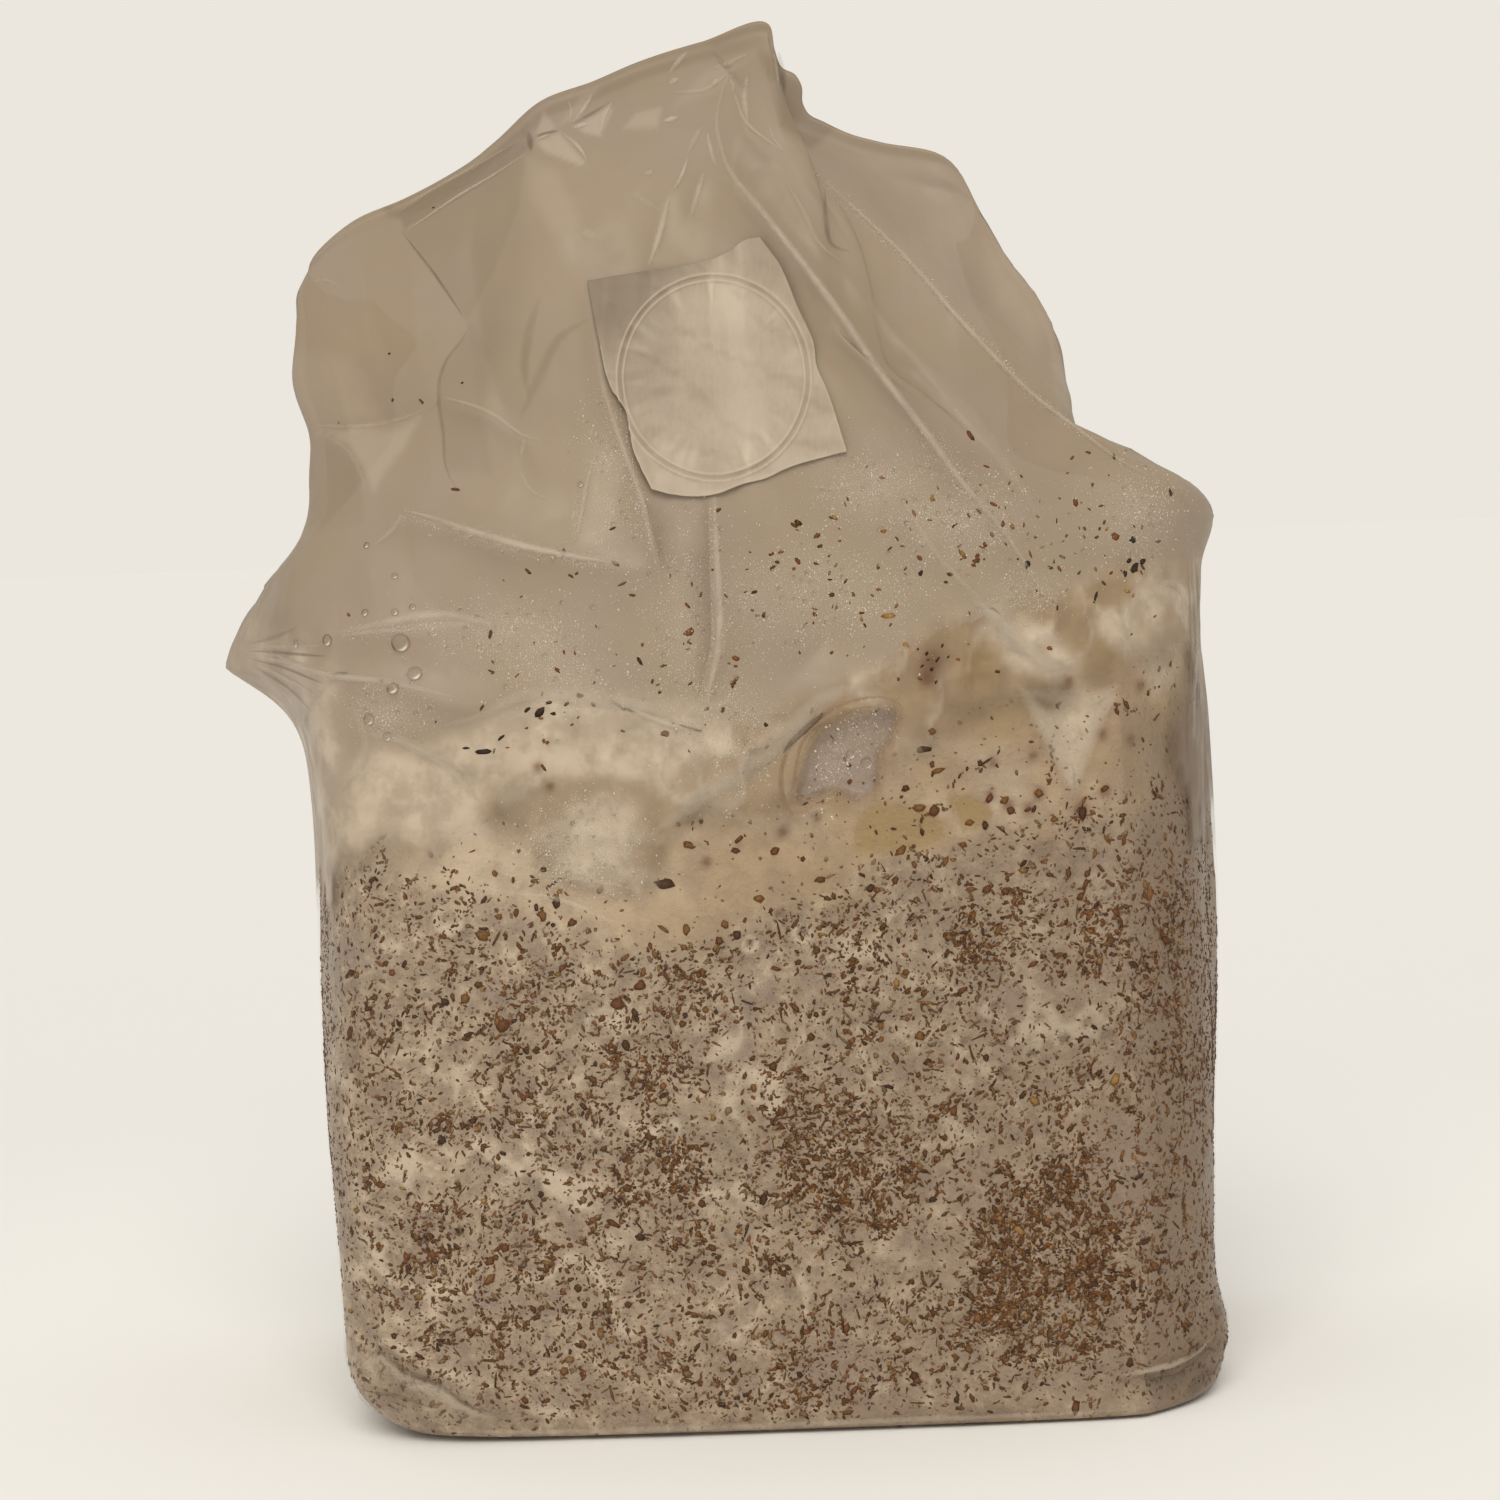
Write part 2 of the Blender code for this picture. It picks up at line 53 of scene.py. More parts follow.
def curveThrough(table, column, at):
    # a cubic between each two rows, with the slope at a row taken from its neighbours
    rows = np.array(table, float)
    places, values = rows[:, 0], rows[:, column]
    slopes = np.gradient(values, places)
    i = np.clip(np.searchsorted(places, at, "right") - 1, 0, len(places) - 2)
    span = places[i + 1] - places[i]
    t = np.clip((at - places[i]) / span, 0, 1)
    return (values[i] * (1 + 2 * t) * (1 - t) ** 2 + values[i + 1] * t * t * (3 - 2 * t)
            + slopes[i] * span * t * (1 - t) ** 2 - slopes[i + 1] * span * t * t * (1 - t))


def byLength(line):
    # a line's points, each after its share of the line's length, and that length
    points = np.array(line, float)
    steps = np.hypot(*np.diff(points, axis=0).T)
    share = np.concatenate([[0], np.cumsum(steps)]) / steps.sum()
    return np.column_stack([share, points]), steps.sum()


def cellNoise(points, size, seed):
    # random values on a lattice of that size, blended smoothly between, from -1 to 1
    spot = points / size
    low = np.floor(spot).astype(np.int64)
    part = spot - low
    part = part * part * (3 - 2 * part)
    total = np.zeros(points.shape[:-1])
    for corner in range(8):
        step = np.array([corner & 1, corner >> 1 & 1, corner >> 2 & 1])
        cell = low + step
        mixed = cell[..., 0] * 73856093 ^ cell[..., 1] * 19349663 ^ cell[..., 2] * 83492791
        mixed = (mixed + seed * 668265263) & 0xFFFFFFFF
        mixed = (mixed ^ mixed >> 15) * 2246822519 & 0xFFFFFFFF
        mixed = (mixed ^ mixed >> 13) * 3266489917 & 0xFFFFFFFF
        value = (mixed ^ mixed >> 16) / 2147483648 - 1
        total += value * np.prod(np.where(step, part, 1 - part), axis=-1)
    return total


def layeredNoise(points, size, seed, layers=4, fade=0.5):
    # noise at that size, plus finer and weaker layers, each half the size of the last
    total, height = 0, 1
    for layer in range(layers):
        total = total + height * cellNoise(points, size / 2 ** layer, seed + 17 * layer)
        height *= fade
    return total


def lineField(x, z, line):
    # distance to a chain of straight runs, the side it is on, and the share along it
    best = np.full(np.shape(x), 1e9)
    side, along = np.zeros(np.shape(x)), np.zeros(np.shape(x))
    for number, ((ax, az), (bx, bz)) in enumerate(zip(line, line[1:])):
        dx, dz = bx - ax, bz - az
        t = np.clip(((x - ax) * dx + (z - az) * dz) / (dx * dx + dz * dz), 0, 1)
        far = np.hypot(x - ax - t * dx, z - az - t * dz)
        nearer = far < best
        best = np.where(nearer, far, best)
        side = np.where(nearer, np.sign(dx * (z - az) - dz * (x - ax)), side)
        along = np.where(nearer, (number + t) / (len(line) - 1), along)
    return best, side, along


def insideOf(x, z, outline):
    # whether a point is inside a closed outline: it crosses it an odd number of times
    crossed = np.zeros(np.shape(x), int)
    for (ax, az), (bx, bz) in zip(outline, outline[1:] + outline[:1]):
        between = (az > z) != (bz > z)
        crossed += between & (x < ax + (z - az) * (bx - ax) / (bz - az if bz != az else 1))
    return crossed % 2 == 1


def areaSum(x, z, areas):
    # soft-edged closed areas, each with the width of its edge and its strength
    total = np.zeros(np.shape(x))
    for outline, soft, strength in areas:
        far = lineField(x, z, outline + outline[:1])[0]
        far = np.where(insideOf(x, z, outline), far, -far)
        total = total + strength * ease(-soft, soft, far)
    return total


def lineGlow(x, z, lines):
    # bell curves across lines, each with its width and strength, thinner at its ends
    total = np.zeros(np.shape(x))
    for line, width, strength in lines:
        far, along = lineField(x, z, line)[::2]
        ends = 0.35 + 0.65 * np.sin(math.pi * along) ** 0.7
        total = total + strength * ends * np.exp(-((far / width) ** 2))
    return total


def foldSum(x, z, lines, crest=0.6):
    # each fold is a ridge, rounded on top over the crest's width, that falls off from
    # its line and fades towards its ends
    total = np.zeros(np.shape(x))
    for line, height, width in lines:
        far, along = lineField(x, z, line)[::2]
        rounded = np.sqrt(far ** 2 + crest ** 2) - crest
        total += height * (0.3 + 0.7 * np.sin(math.pi * along)) * np.exp(-rounded / width)
    return total


print("bag shape")
bag = {
    "levelHeight": 300, "halfWide": 102, "halfDeep": 62.5,
    "blockLevel": 0.5, "panelBow": 1.5,
    "baseRound": (18, 4), "baseRoundDeep": 0.4,    # at the left and right, and its share in depth
    "cornerEar": (3.2, 13, 9),     # reach, height and spread of the folded corner
    # level, x and z along each side edge, x and z along the welded edge, then level, half
    # depth and squareness of the section, and level and tuck at the left and right
    "leftEdge": [(0, -102, 0), (0.16, -102.3, 48), (0.25, -102.2, 75), (0.33, -100.2, 99),
        (0.39, -99, 117), (0.45, -98.8, 135), (0.5, -100, 150), (0.58, -103.6, 172), (0.65, -111, 192),
        (0.68, -110.6, 201), (0.71, -107.8, 212), (0.74, -110.5, 221), (0.775, -112, 230),
        (0.81, -116, 239), (0.86, -116.8, 247), (0.9, -116.5, 253), (1, -111.6, 263)],
    "rightEdge": [(0, 102, 0), (0.25, 102.5, 75), (0.5, 101.5, 150), (0.58, 103.5, 171),
        (0.65, 105.8, 192), (0.7, 111.2, 206.6), (0.74, 100.8, 213), (0.765, 86, 218.4), (0.79, 83, 223),
        (0.82, 82.8, 229.8), (0.86, 80.2, 241.8), (0.9, 72.4, 251.2), (0.95, 65.4, 260.6),
        (1, 59.8, 271)],
    "hem": [(-111.6, 263), (-108, 268.8), (-97, 278.2), (-90.4, 282.4), (-78.8, 286.9), (-70, 291.1),
        (-62, 295.7), (-56.5, 299.9), (-45.6, 308.8), (-32.8, 313), (-22.7, 316.8), (-6.8, 321),
        (9.7, 323.8), (10.6, 318), (12.1, 313.9), (15, 312.2), (16.5, 309.3), (16.6, 305.2), (17.6, 303),
        (21.6, 300.5), (27.6, 297.4), (33.8, 295.4), (50.3, 290.3), (56.6, 280.6), (59.8, 271)],
    "sections": [(0, 62.5, 9), (0.5, 62.5, 8), (0.58, 61, 6), (0.65, 57.5, 4.6), (0.72, 51, 3.8),
        (0.8, 41, 3.4), (0.88, 28, 3), (0.95, 12, 2.8), (0.985, 1.6, 2.6), (1, 0.9, 2.6)],
    "tucks": [(0, 0, 0), (0.62, 0, 0), (0.68, 6, 5), (0.74, 22, 18), (0.8, 33, 22), (0.85, 36, 20),
        (0.9, 41, 16), (0.95, 33, 13), (1, 26, 10)],
    "ear": (0.598, 18.5, 0.036, 0.075),    # level, reach and spread below and above
    "rightRidge": [(5, 306), (19, 287), (26, 280), (39, 267), (51, 251), (67, 234), (79, 224)],
    "ridgeFall": (0.66, 9),        # how far the film lies back right of the ridge, and how soon
    "notchPull": (6, 0.72, 0.07),  # how far, at which share and how wide
    "bevel": (82.5, 20, 11),       # x where the front turns back, width and depth
    # x and z along the line where the block's top meets the front's film
    "contact": [(-125, 152), (-100, 154), (-88, 157), (-77, 155), (-63, 163), (-45, 168), (-27, 168),
        (-13, 163), (0, 160), (16, 167), (37, 177), (46, 183), (56, 185), (69, 185), (84, 191), (99, 193),
        (125, 190)],
    "bendAcross": (0.25, 0.68),    # where the welded edge is bent, with closer columns
    "frontCount": 330, "sideCount": 36, "backCount": 72,
}
frontFolds = [  # line, height and width of each fold of the front
    ([(0, 296), (-1, 287), (5, 279), (15, 266), (23, 254), (31, 241), (40, 228), (47, 217),
      (59, 202), (68, 185)], 6, 4.5),
    ([(11, 284), (19, 270), (28, 259), (40, 243), (48, 233), (57, 221), (63, 213)], 3.6, 3.2),
    ([(-86, 208), (-78, 213), (-67, 210), (-57, 206), (-43, 203), (-26, 199)], 5, 4.2),
    ([(-35, 262), (-32, 240), (-28, 227), (-24, 214), (-21, 203)], 3.4, 3.2),
    ([(-8, 216), (-8, 197), (-7, 183), (-10, 174), (-13, 161)], 4.6, 3.6),
    ([(-119, 182), (-92, 177), (-77, 174), (-66, 170), (-55, 170)], 3.4, 4),
    ([(-100, 186), (-93, 187), (-80, 190), (-71, 190)], 1.8, 3),
    ([(27, 218), (31, 213), (37, 204), (43, 197), (51, 190), (56, 182)], 1.6, 2.6),
    ([(-102, 233), (-90, 233), (-80, 235), (-71, 237)], -3, 5),
    ([(-71, 239), (-59, 235), (-49, 228)], 1.8, 2.6),
    ([(-16, 284), (-21, 266)], 1.2, 2),
    ([(-7, 289), (-12, 276)], 1, 2),
    ([(4, 314), (2, 304), (3, 298), (9, 291)], 1.6, 2.2),
    ([(-60, 292), (-62, 270), (-58, 245), (-50, 222)], -4, 14),
    ([(-95, 246), (-92, 232), (-88, 216)], 4, 9),
    ([(20, 196), (16, 182), (6, 172)], -3, 9),
]
backFolds = [
    ([(20, 296), (12, 268), (-8, 240), (-34, 210), (-60, 188)], 6.5, 6),
    ([(34, 284), (38, 256), (28, 226), (30, 190)], 4.5, 5),
    ([(-88, 262), (-60, 246), (-44, 222)], 5.5, 6),
    ([(88, 205), (62, 202), (40, 192), (14, 176)], 5.5, 5.5),
    ([(-20, 280), (-30, 255), (-58, 222), (-84, 200)], -6, 11),
]


def ringOfCorners(frontCount, sideCount, backCount):
    # points round a square of side 2, from the front left corner along the front
    front = np.linspace(-1, 1, frontCount + 1)[:-1]
    side = np.linspace(-1, 1, sideCount + 1)[:-1]
    close = backCount // 3
    back = np.concatenate([np.linspace(-1, 1, backCount - close + 1)[1:],
                           np.linspace(*bag["bendAcross"], close + 2)[1:-1]])
    back = np.sort(back)[::-1]
    across = np.concatenate([front, np.ones(sideCount), back, -np.ones(sideCount)])
    deep = np.concatenate([-np.ones(frontCount), side, np.ones(backCount), -side])
    return across, deep


def contactAt(x):
    # the height of the line where the block's top meets the front's film
    return np.interp(x, *np.array(bag["contact"], float).T)


def baseRound(share):
    # the radius of the base's rounded edge, which grows evenly from left to right
    left, right = bag["baseRound"]
    return left + share * (right - left)


def bagSurface(across, deep, level, inset=0, folded=True):
    # A square ring is rounded to a superellipse. Its width lies between the two edges,
    # raised towards the hem, its depth tapers to the weld, and the folds are added.
    power = curveThrough(bag["sections"], 2, level)
    reach = (np.abs(across) ** power + np.abs(deep) ** power) ** (-1 / power)
    c, e = across * reach, deep * reach
    share = (c + 1) / 2
    leftX, leftZ = (curveThrough(bag["leftEdge"], k, level) for k in (1, 2))
    rightX, rightZ = (curveThrough(bag["rightEdge"], k, level) for k in (1, 2))
    earLevel, earReach, earBelow, earAbove = bag["ear"]
    soft = np.abs(c) ** 6 * np.exp(-((e / 0.45) ** 2))
    sharp = np.abs(c) ** 6 * np.clip(1 - np.abs(e) / 0.85, 0, 1)
    earSpread = np.where(level < earLevel, earBelow, earAbove)
    ear = earReach * np.exp(-((np.abs(level - earLevel) / earSpread) ** 1.3))
    leftX = leftX + (curveThrough(bag["tucks"], 1, level) * sharp - ear * soft) * (c < 0) + inset
    rightX = rightX - curveThrough(bag["tucks"], 2, level) * sharp * (c > 0) - inset
    hem = byLength(bag["hem"])[0]
    (firstX, firstZ), (lastX, lastZ) = bag["hem"][0], bag["hem"][-1]
    rise = ease(bag["blockLevel"], 1, level)
    hemX = curveThrough(hem, 1, share) - (firstX + share * (lastX - firstX))
    hemZ = curveThrough(hem, 2, share) - (firstZ + share * (lastZ - firstZ))
    x = leftX + share * (rightX - leftX) + rise * hemX
    z = leftZ + share * (rightZ - leftZ) + rise * hemZ
    pull, pullShare, pullWide = bag["notchPull"]
    near = ease(0.8, 0.93, level) * (1 - ease(0.985, 1, level))
    x = x - pull * near * np.exp(-(((share - pullShare) / pullWide) ** 2))
    wing = 0.45 * ease(0.66, 0.78, level) * (1 - ease(0, 0.34, share))
    half = curveThrough(bag["sections"], 1, level) * (1 - wing) - inset
    rounding = baseRound(share)
    below = np.clip(rounding - z, 0, rounding)
    under = rounding - np.sqrt(np.maximum(rounding ** 2 - below ** 2, 0))
    x = x * (1 - under / bag["halfWide"]) + bag["panelBow"] * (1 - e * e) * c
    y = e * (half - bag["baseRoundDeep"] * under) + bag["panelBow"] * (1 - c * c) * e
    bevelX, bevelWide, bevelDeep = bag["bevel"]
    turned = np.clip((x - bevelX) / bevelWide, 0, 1.2) * (1 - ease(165, 215, z))
    y = y + bevelDeep * turned * np.clip(-2.2 * e, 0, 1)
    earOut, earZ, earHigh = bag["cornerEar"]
    corner = ease(0.8, 0.98, c) * ease(0.15, 0.75, -e)
    x = x + earOut * corner * np.exp(-(((z - earZ) / earHigh) ** 2))
    if folded:
        front, back = np.clip(-2.2 * e, 0, 1), np.clip(2.2 * e, 0, 1)
        held = 1 - ease(0.9, 0.97, level)
        free = ease(0.53, 0.6, level) * held
        above = z - contactAt(x)
        frontFree = ease(-3, 12, above) * held
        far, side = lineField(x, z, bag["rightRidge"])[:2]
        fallShare, fallWidth = bag["ridgeFall"]
        fall = np.where(side > 0, 1 - np.exp(-((far / fallWidth) ** 2)), 0)
        fall = fall * ease(0.73, 0.8, level) * (1 - ease(0.95, 1, level))
        y = np.where(e < 0, y * (1 - fallShare * fall), y)
        y = y - front * frontFree * foldSum(x, z, frontFolds)
        y = y + back * free * foldSum(x, z, backFolds, 5)
    y = y + rise ** 2 * (7 * np.sin(math.pi * (share - 0.12) * 1.7) - 4)
    return np.stack(np.broadcast_arrays(x, y, z), axis=-1)


def toLengthOne(vectors):
    # each vector divided by its length
    return vectors / np.maximum(np.linalg.norm(vectors, axis=-1, keepdims=True), 1e-9)


def normalsOf(grid):
    # the cross product of the steps round each ring and the steps up the rows
    roundWay = np.roll(grid, -1, axis=1) - np.roll(grid, 1, axis=1)
    return toLengthOne(np.cross(roundWay, np.gradient(grid, axis=0)))


def tubeFaces(rows, columns):
    # quads between neighbouring rows of a closed ring
    start = np.arange(rows - 1)[:, None] * columns
    here, after = np.arange(columns)[None], (np.arange(columns)[None] + 1) % columns
    quads = np.stack([start + here, start + after, start + columns + after,
                      start + columns + here], axis=-1)
    return quads.reshape(-1, 4)


def sheetFaces(rows, columns):
    # quads of an open grid
    start = (np.arange(rows - 1)[:, None] * columns + np.arange(columns - 1)[None]).ravel()
    return np.stack([start, start + 1, start + columns + 1, start + columns], axis=-1)


def zipFaces(ringStart, places):
    # Closes a flat ring: its front and its back half are joined by triangles, in the
    # order of each point's place from left to right, from -1 to 1.
    index = np.arange(len(places))
    left, right = places.argmin(), places.argmax()
    front = np.roll(index, -left)[:(right - left) % len(places) + 1]
    behind = np.roll(index, -right)[:(left - right) % len(places) + 1][::-1]
    other = np.clip(np.searchsorted(places[behind], places[front[1:]], "right") - 1, 0, len(behind) - 1)
    first = np.stack([front[:-1], front[1:], behind[other]], axis=-1)
    other = np.clip(np.searchsorted(places[front], places[behind[1:]], "left") - 1, 0, len(front) - 1)
    second = np.stack([behind[1:], behind[:-1], front[other]], axis=-1)
    faces = np.concatenate([first, second])
    whole = (faces[:, 0] != faces[:, 1]) & (faces[:, 1] != faces[:, 2]) & (faces[:, 0] != faces[:, 2])
    return faces[whole] + ringStart


def newPiece(name, points, faces, material, attributes=None, smooth=True, lids=()):
    # one mesh object in metres, with its quads or triangles, lids and named attributes
    mesh = bpy.data.meshes.new(name)
    points = np.asarray(points, float).reshape(-1, 3)
    groups = [np.asarray(faces)] + [np.atleast_2d(lid) for lid in lids]
    loops = np.concatenate([group.ravel() for group in groups])
    sizes = np.concatenate([np.full(len(group), group.shape[1]) for group in groups])
    mesh.vertices.add(len(points))
    mesh.vertices.foreach_set("co", (points * mm).astype(np.float32).ravel())
    mesh.loops.add(len(loops))
    mesh.loops.foreach_set("vertex_index", loops.astype(np.int32))
    mesh.polygons.add(len(sizes))
    starts = np.concatenate([[0], np.cumsum(sizes)[:-1]])
    mesh.polygons.foreach_set("loop_start", starts.astype(np.int32))
    mesh.polygons.foreach_set("loop_total", sizes.astype(np.int32))
    mesh.update(calc_edges=True)
    mesh.validate()
    for key, values in (attributes or {}).items():
        values = np.asarray(values, np.float32)
        if values.ndim == 2 and values.shape[1] == 3:
            layer = mesh.color_attributes.new(key, "FLOAT_COLOR", "POINT")
            values = np.column_stack([values, np.ones(len(values), np.float32)])
            layer.data.foreach_set("color", values.ravel())
        else:
            layer = mesh.attributes.new(key, "FLOAT", "POINT")
            layer.data.foreach_set("value", values.ravel())
    if smooth:
        mesh.shade_smooth()
    mesh.materials.append(material)
    piece = bpy.data.objects.new(name, mesh)
    bpy.context.scene.collection.objects.link(piece)
    return piece


def finishPiece(piece, slot, *nodes):
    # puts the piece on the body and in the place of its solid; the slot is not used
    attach(piece, "root")
    if nodes:
        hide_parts(*nodes)


print("materials")


class Recipe:
    # a material under construction: its nodes are added in order from left to right
    def __init__(self, name, roughness):
        self.material = bpy.data.materials.new(name)
        self.material.use_nodes = True
        self.tree = self.material.node_tree
        self.shader = self.tree.nodes["Principled BSDF"]
        self.shader.inputs["Roughness"].default_value = roughness
        self.place = self.add("ShaderNodeTexCoord").outputs["Object"]

    def add(self, kind, values=None, links=None, **settings):
        # one node with its settings, its fixed values and its links
        node = self.tree.nodes.new(kind)
        node.location = (-200 * len(self.tree.nodes), 100)
        for key, value in settings.items():
            setattr(node, key, value)
        for key, value in (values or {}).items():
            node.inputs[key].default_value = value
        for key, source in (links or {}).items():
            self.tree.links.new(source, node.inputs[key])
        return node

    def noise(self, size, detail=4, roughness=0.5, stretch=None):
        # noise whose blobs are about that many millimetres across
        place = self.place
        if stretch:
            scaled = self.add("ShaderNodeMapping", {"Scale": stretch}, {"Vector": place})
            place = scaled.outputs[0]
        node = self.add("ShaderNodeTexNoise",
                        {"Scale": 1 / (size * mm), "Detail": detail, "Roughness": roughness},
                        {"Vector": place})
        return node.outputs["Fac"]

    def cells(self, size):
        # how far the nearest of scattered points is, for points about that far apart
        node = self.add("ShaderNodeTexVoronoi", {"Scale": 1 / (size * mm)}, {"Vector": self.place})
        return node.outputs["Distance"]

    def attribute(self, name, kind="Fac"):
        # a value or colour that newPiece stored at each vertex
        return self.add("ShaderNodeAttribute", attribute_name=name).outputs[kind]

    def remap(self, source, low, high, toLow=0, toHigh=1, curve="SMOOTHSTEP"):
        # low becomes toLow and high becomes toHigh, with an S-shaped curve between
        node = self.add("ShaderNodeMapRange",
                        {"From Min": low, "From Max": high, "To Min": toLow, "To Max": toHigh},
                        {"Value": source}, interpolation_type=curve)
        return node.outputs[0]

    def maths(self, operation, first, second):
        # the sum or product of two sockets or numbers
        node = self.add("ShaderNodeMath", operation=operation)
        for socket, value in zip(node.inputs, (first, second)):
            if isinstance(value, (int, float)):
                socket.default_value = value
            else:
                self.tree.links.new(value, socket)
        return node.outputs[0]

    def blend(self, share, first, second, kind="MIX"):
        # share is a socket, or a number that stays the same all over
        node = self.add("ShaderNodeMix", data_type="RGBA", blend_type=kind)
        for name, value in (("Factor", share), ("A", first), ("B", second)):
            socket = [s for s in node.inputs if s.name == name and s.enabled][0]
            if isinstance(value, (int, float)):
                socket.default_value = value
            elif isinstance(value, tuple):
                socket.default_value = (*value, 1)
            else:
                self.tree.links.new(value, socket)
        return [s for s in node.outputs if s.enabled][0]

    def bump(self, height, depth, strength=1):
        # depth is in millimetres for a height that goes from 0 to 1
        links = {"Height": height}
        before = self.shader.inputs["Normal"].links
        if before:
            links["Normal"] = before[0].from_socket
        node = self.add("ShaderNodeBump", {"Strength": strength, "Distance": depth * mm}, links)
        self.tree.links.new(node.outputs[0], self.shader.inputs["Normal"])

    def feed(self, name, source):
        # a number stays on the shader's own socket, anything else is linked to it
        if isinstance(source, (int, float)):
            self.shader.inputs[name].default_value = source
        else:
            self.tree.links.new(source, self.shader.inputs[name])


filmLook = {
    "clearAlpha": 0.03, "hazyAlpha": 0.87,
    # dark is mixed in by the tone: the weld's colour and painted shade in folds
    "pink": (0.385, 0.294, 0.216), "olive": (0.368, 0.284, 0.191), "dark": (0.27, 0.202, 0.13),
    # pale is mixed in by the crease: the base's doubled folds and painted highlights on facets
    "mist": (0.5, 0.4, 0.302), "pale": (0.62, 0.52, 0.41),
    "roughness": 0.5, "gloss": 0.35,
}


def makeFilmMaterial():
    # clear where the haze is 0, else brown film with a dark weld and painted shade in folds,
    # mist, creases and painted highlights, and the touching white skin with its painted shade, mixed in
    # turn
    look = Recipe("hazy film", filmLook["roughness"])
    names = ("haze", "tone", "mist", "crease", "veil", "lump")
    haze, tone, mist, crease, veil, lump = (look.attribute(name) for name in names)
    clouds = look.noise(30, 3)
    tint = look.blend(look.remap(clouds, 0.38, 0.62), filmLook["pink"], filmLook["olive"])
    tint = look.blend(tone, tint, filmLook["dark"])
    tint = look.blend(mist, tint, filmLook["mist"])
    tint = look.blend(crease, tint, filmLook["pale"])
    grown = look.blend(lump, blockLook["cream"], blockLook["lump"])
    mottle = look.noise(9, 5, 0.62)
    grown = look.blend(look.remap(mottle, 0.4, 0.62, 0.35, 0), grown, blockLook["shade"])
    for name in ("pool", "shade", "stain"):
        grown = look.blend(look.attribute(name), grown, blockLook[name])
    tint = look.blend(veil, tint, grown)
    look.feed("Base Color", tint)
    patchy = look.maths("MULTIPLY", look.remap(clouds, 0.3, 0.7, 0.95, 1.04), haze)
    look.feed("Alpha", look.remap(patchy, 0, 1, filmLook["clearAlpha"], filmLook["hazyAlpha"], "LINEAR"))
    look.feed("Roughness", look.remap(look.noise(8), 0.35, 0.65, 0.36, 0.52))
    look.feed("Specular IOR Level", filmLook["gloss"])
    look.bump(look.noise(9, 3, 0.45, (1, 1, 0.5)), 0.35, 0.4)
    return look.material


def makeRibMaterial():
    # each crease in its own ink, as dense as its strength says: painted highlights, painted shade, and
    # the window's tan rim
    look = Recipe("painted crease highlights and shade", 0.4)
    strength = look.attribute("strength")
    look.feed("Base Color", look.attribute("ink", "Color"))
    look.feed("Alpha", look.maths("MULTIPLY", strength, look.remap(look.noise(5, 2), 0.3, 0.6, 0.7, 1)))
    look.feed("Specular IOR Level", filmLook["gloss"])
    return look.material


blockLook = {
    "white": (0.6, 0.49, 0.365), "ground": (0.375, 0.282, 0.193), "grey": (0.245, 0.179, 0.127),
    "mauve": (0.275, 0.203, 0.157), "cream": (0.435, 0.312, 0.185), "lump": (0.7, 0.58, 0.445),
    "pool": (0.32, 0.215, 0.09), "stain": (0.14, 0.055, 0.022), "rim": (0.33, 0.225, 0.13),
    # shade is the colour of painted shade in the sunken patches, towards the right and at the turned
    # edge; it also darkens the random mottle
    "hollow": (0.4, 0.315, 0.26), "shade": (0.21, 0.144, 0.093), "speck": (0.14, 0.068, 0.032),
    "dusty": (0.225, 0.15, 0.1),
}


def makeBlockMaterial():
    # brown and grey ground with white threads and dark specks, then the cream skin
    # above, then the marks stored at the vertices, painted shade among them
    look = Recipe("mycelium over sawdust", 0.55)
    cream, relief = (look.attribute(name) for name in ("cream", "relief"))
    clouds = look.noise(22, 4, 0.6)
    mottle = look.noise(9, 5, 0.62)
    fine = look.noise(2.4, 4, 0.6)
    mixed = look.maths("ADD", look.maths("MULTIPLY", mottle, 0.6), look.maths("MULTIPLY", fine, 0.4))
    skin = look.blend(look.remap(mixed, 0.38, 0.56), blockLook["grey"], blockLook["ground"])
    skin = look.blend(look.remap(clouds, 0.52, 0.68, 0, 0.6), skin, blockLook["mauve"])
    skin = look.blend(look.remap(mixed, 0.52, 0.66, 0, 0.8), skin, blockLook["white"])
    skin = look.blend(look.attribute("dusty"), skin, blockLook["dusty"])
    skin = look.blend(look.remap(relief, 0.5, 0.95, 0, 0.8), skin, blockLook["white"])
    specks = look.remap(look.cells(1.1), 0.15, 0.26, 1, 0)
    gate = look.remap(look.noise(6, 3, 0.6), 0.42, 0.58, 0, 0.75)
    skin = look.blend(look.maths("MULTIPLY", specks, gate), skin, blockLook["speck"])
    soft = look.blend(look.attribute("lump"), blockLook["cream"], blockLook["lump"])
    soft = look.blend(look.remap(mottle, 0.4, 0.62, 0.35, 0), soft, blockLook["shade"])
    skin = look.blend(cream, skin, soft)
    for name in ("shade", "pool", "stain", "rim", "hollow"):
        skin = look.blend(look.attribute(name), skin, blockLook[name])
    look.feed("Base Color", skin)
    look.feed("Roughness", look.remap(mottle, 0.3, 0.7, 0.45, 0.65))
    look.feed("Coat Weight", 0.2)
    look.feed("Coat Roughness", 0.3)
    look.bump(mottle, 2.2, 0.8)
    look.bump(fine, 0.6, 0.8)
    look.bump(look.noise(0.7, 2), 0.12, 0.6)
    return look.material


def makeFlakeMaterial():
    # each flake in its own colour, darker along a fine grain
    look = Recipe("sawdust flakes", 0.6)
    colour = look.attribute("dust", "Color")
    grain = look.noise(0.5, 2)
    look.feed("Base Color", look.blend(look.remap(grain, 0.3, 0.7, 0, 0.4), colour,
                                       (0.06, 0.026, 0.012)))
    look.feed("Specular IOR Level", 0.25)
    look.bump(grain, 0.08, 0.6)
    return look.material


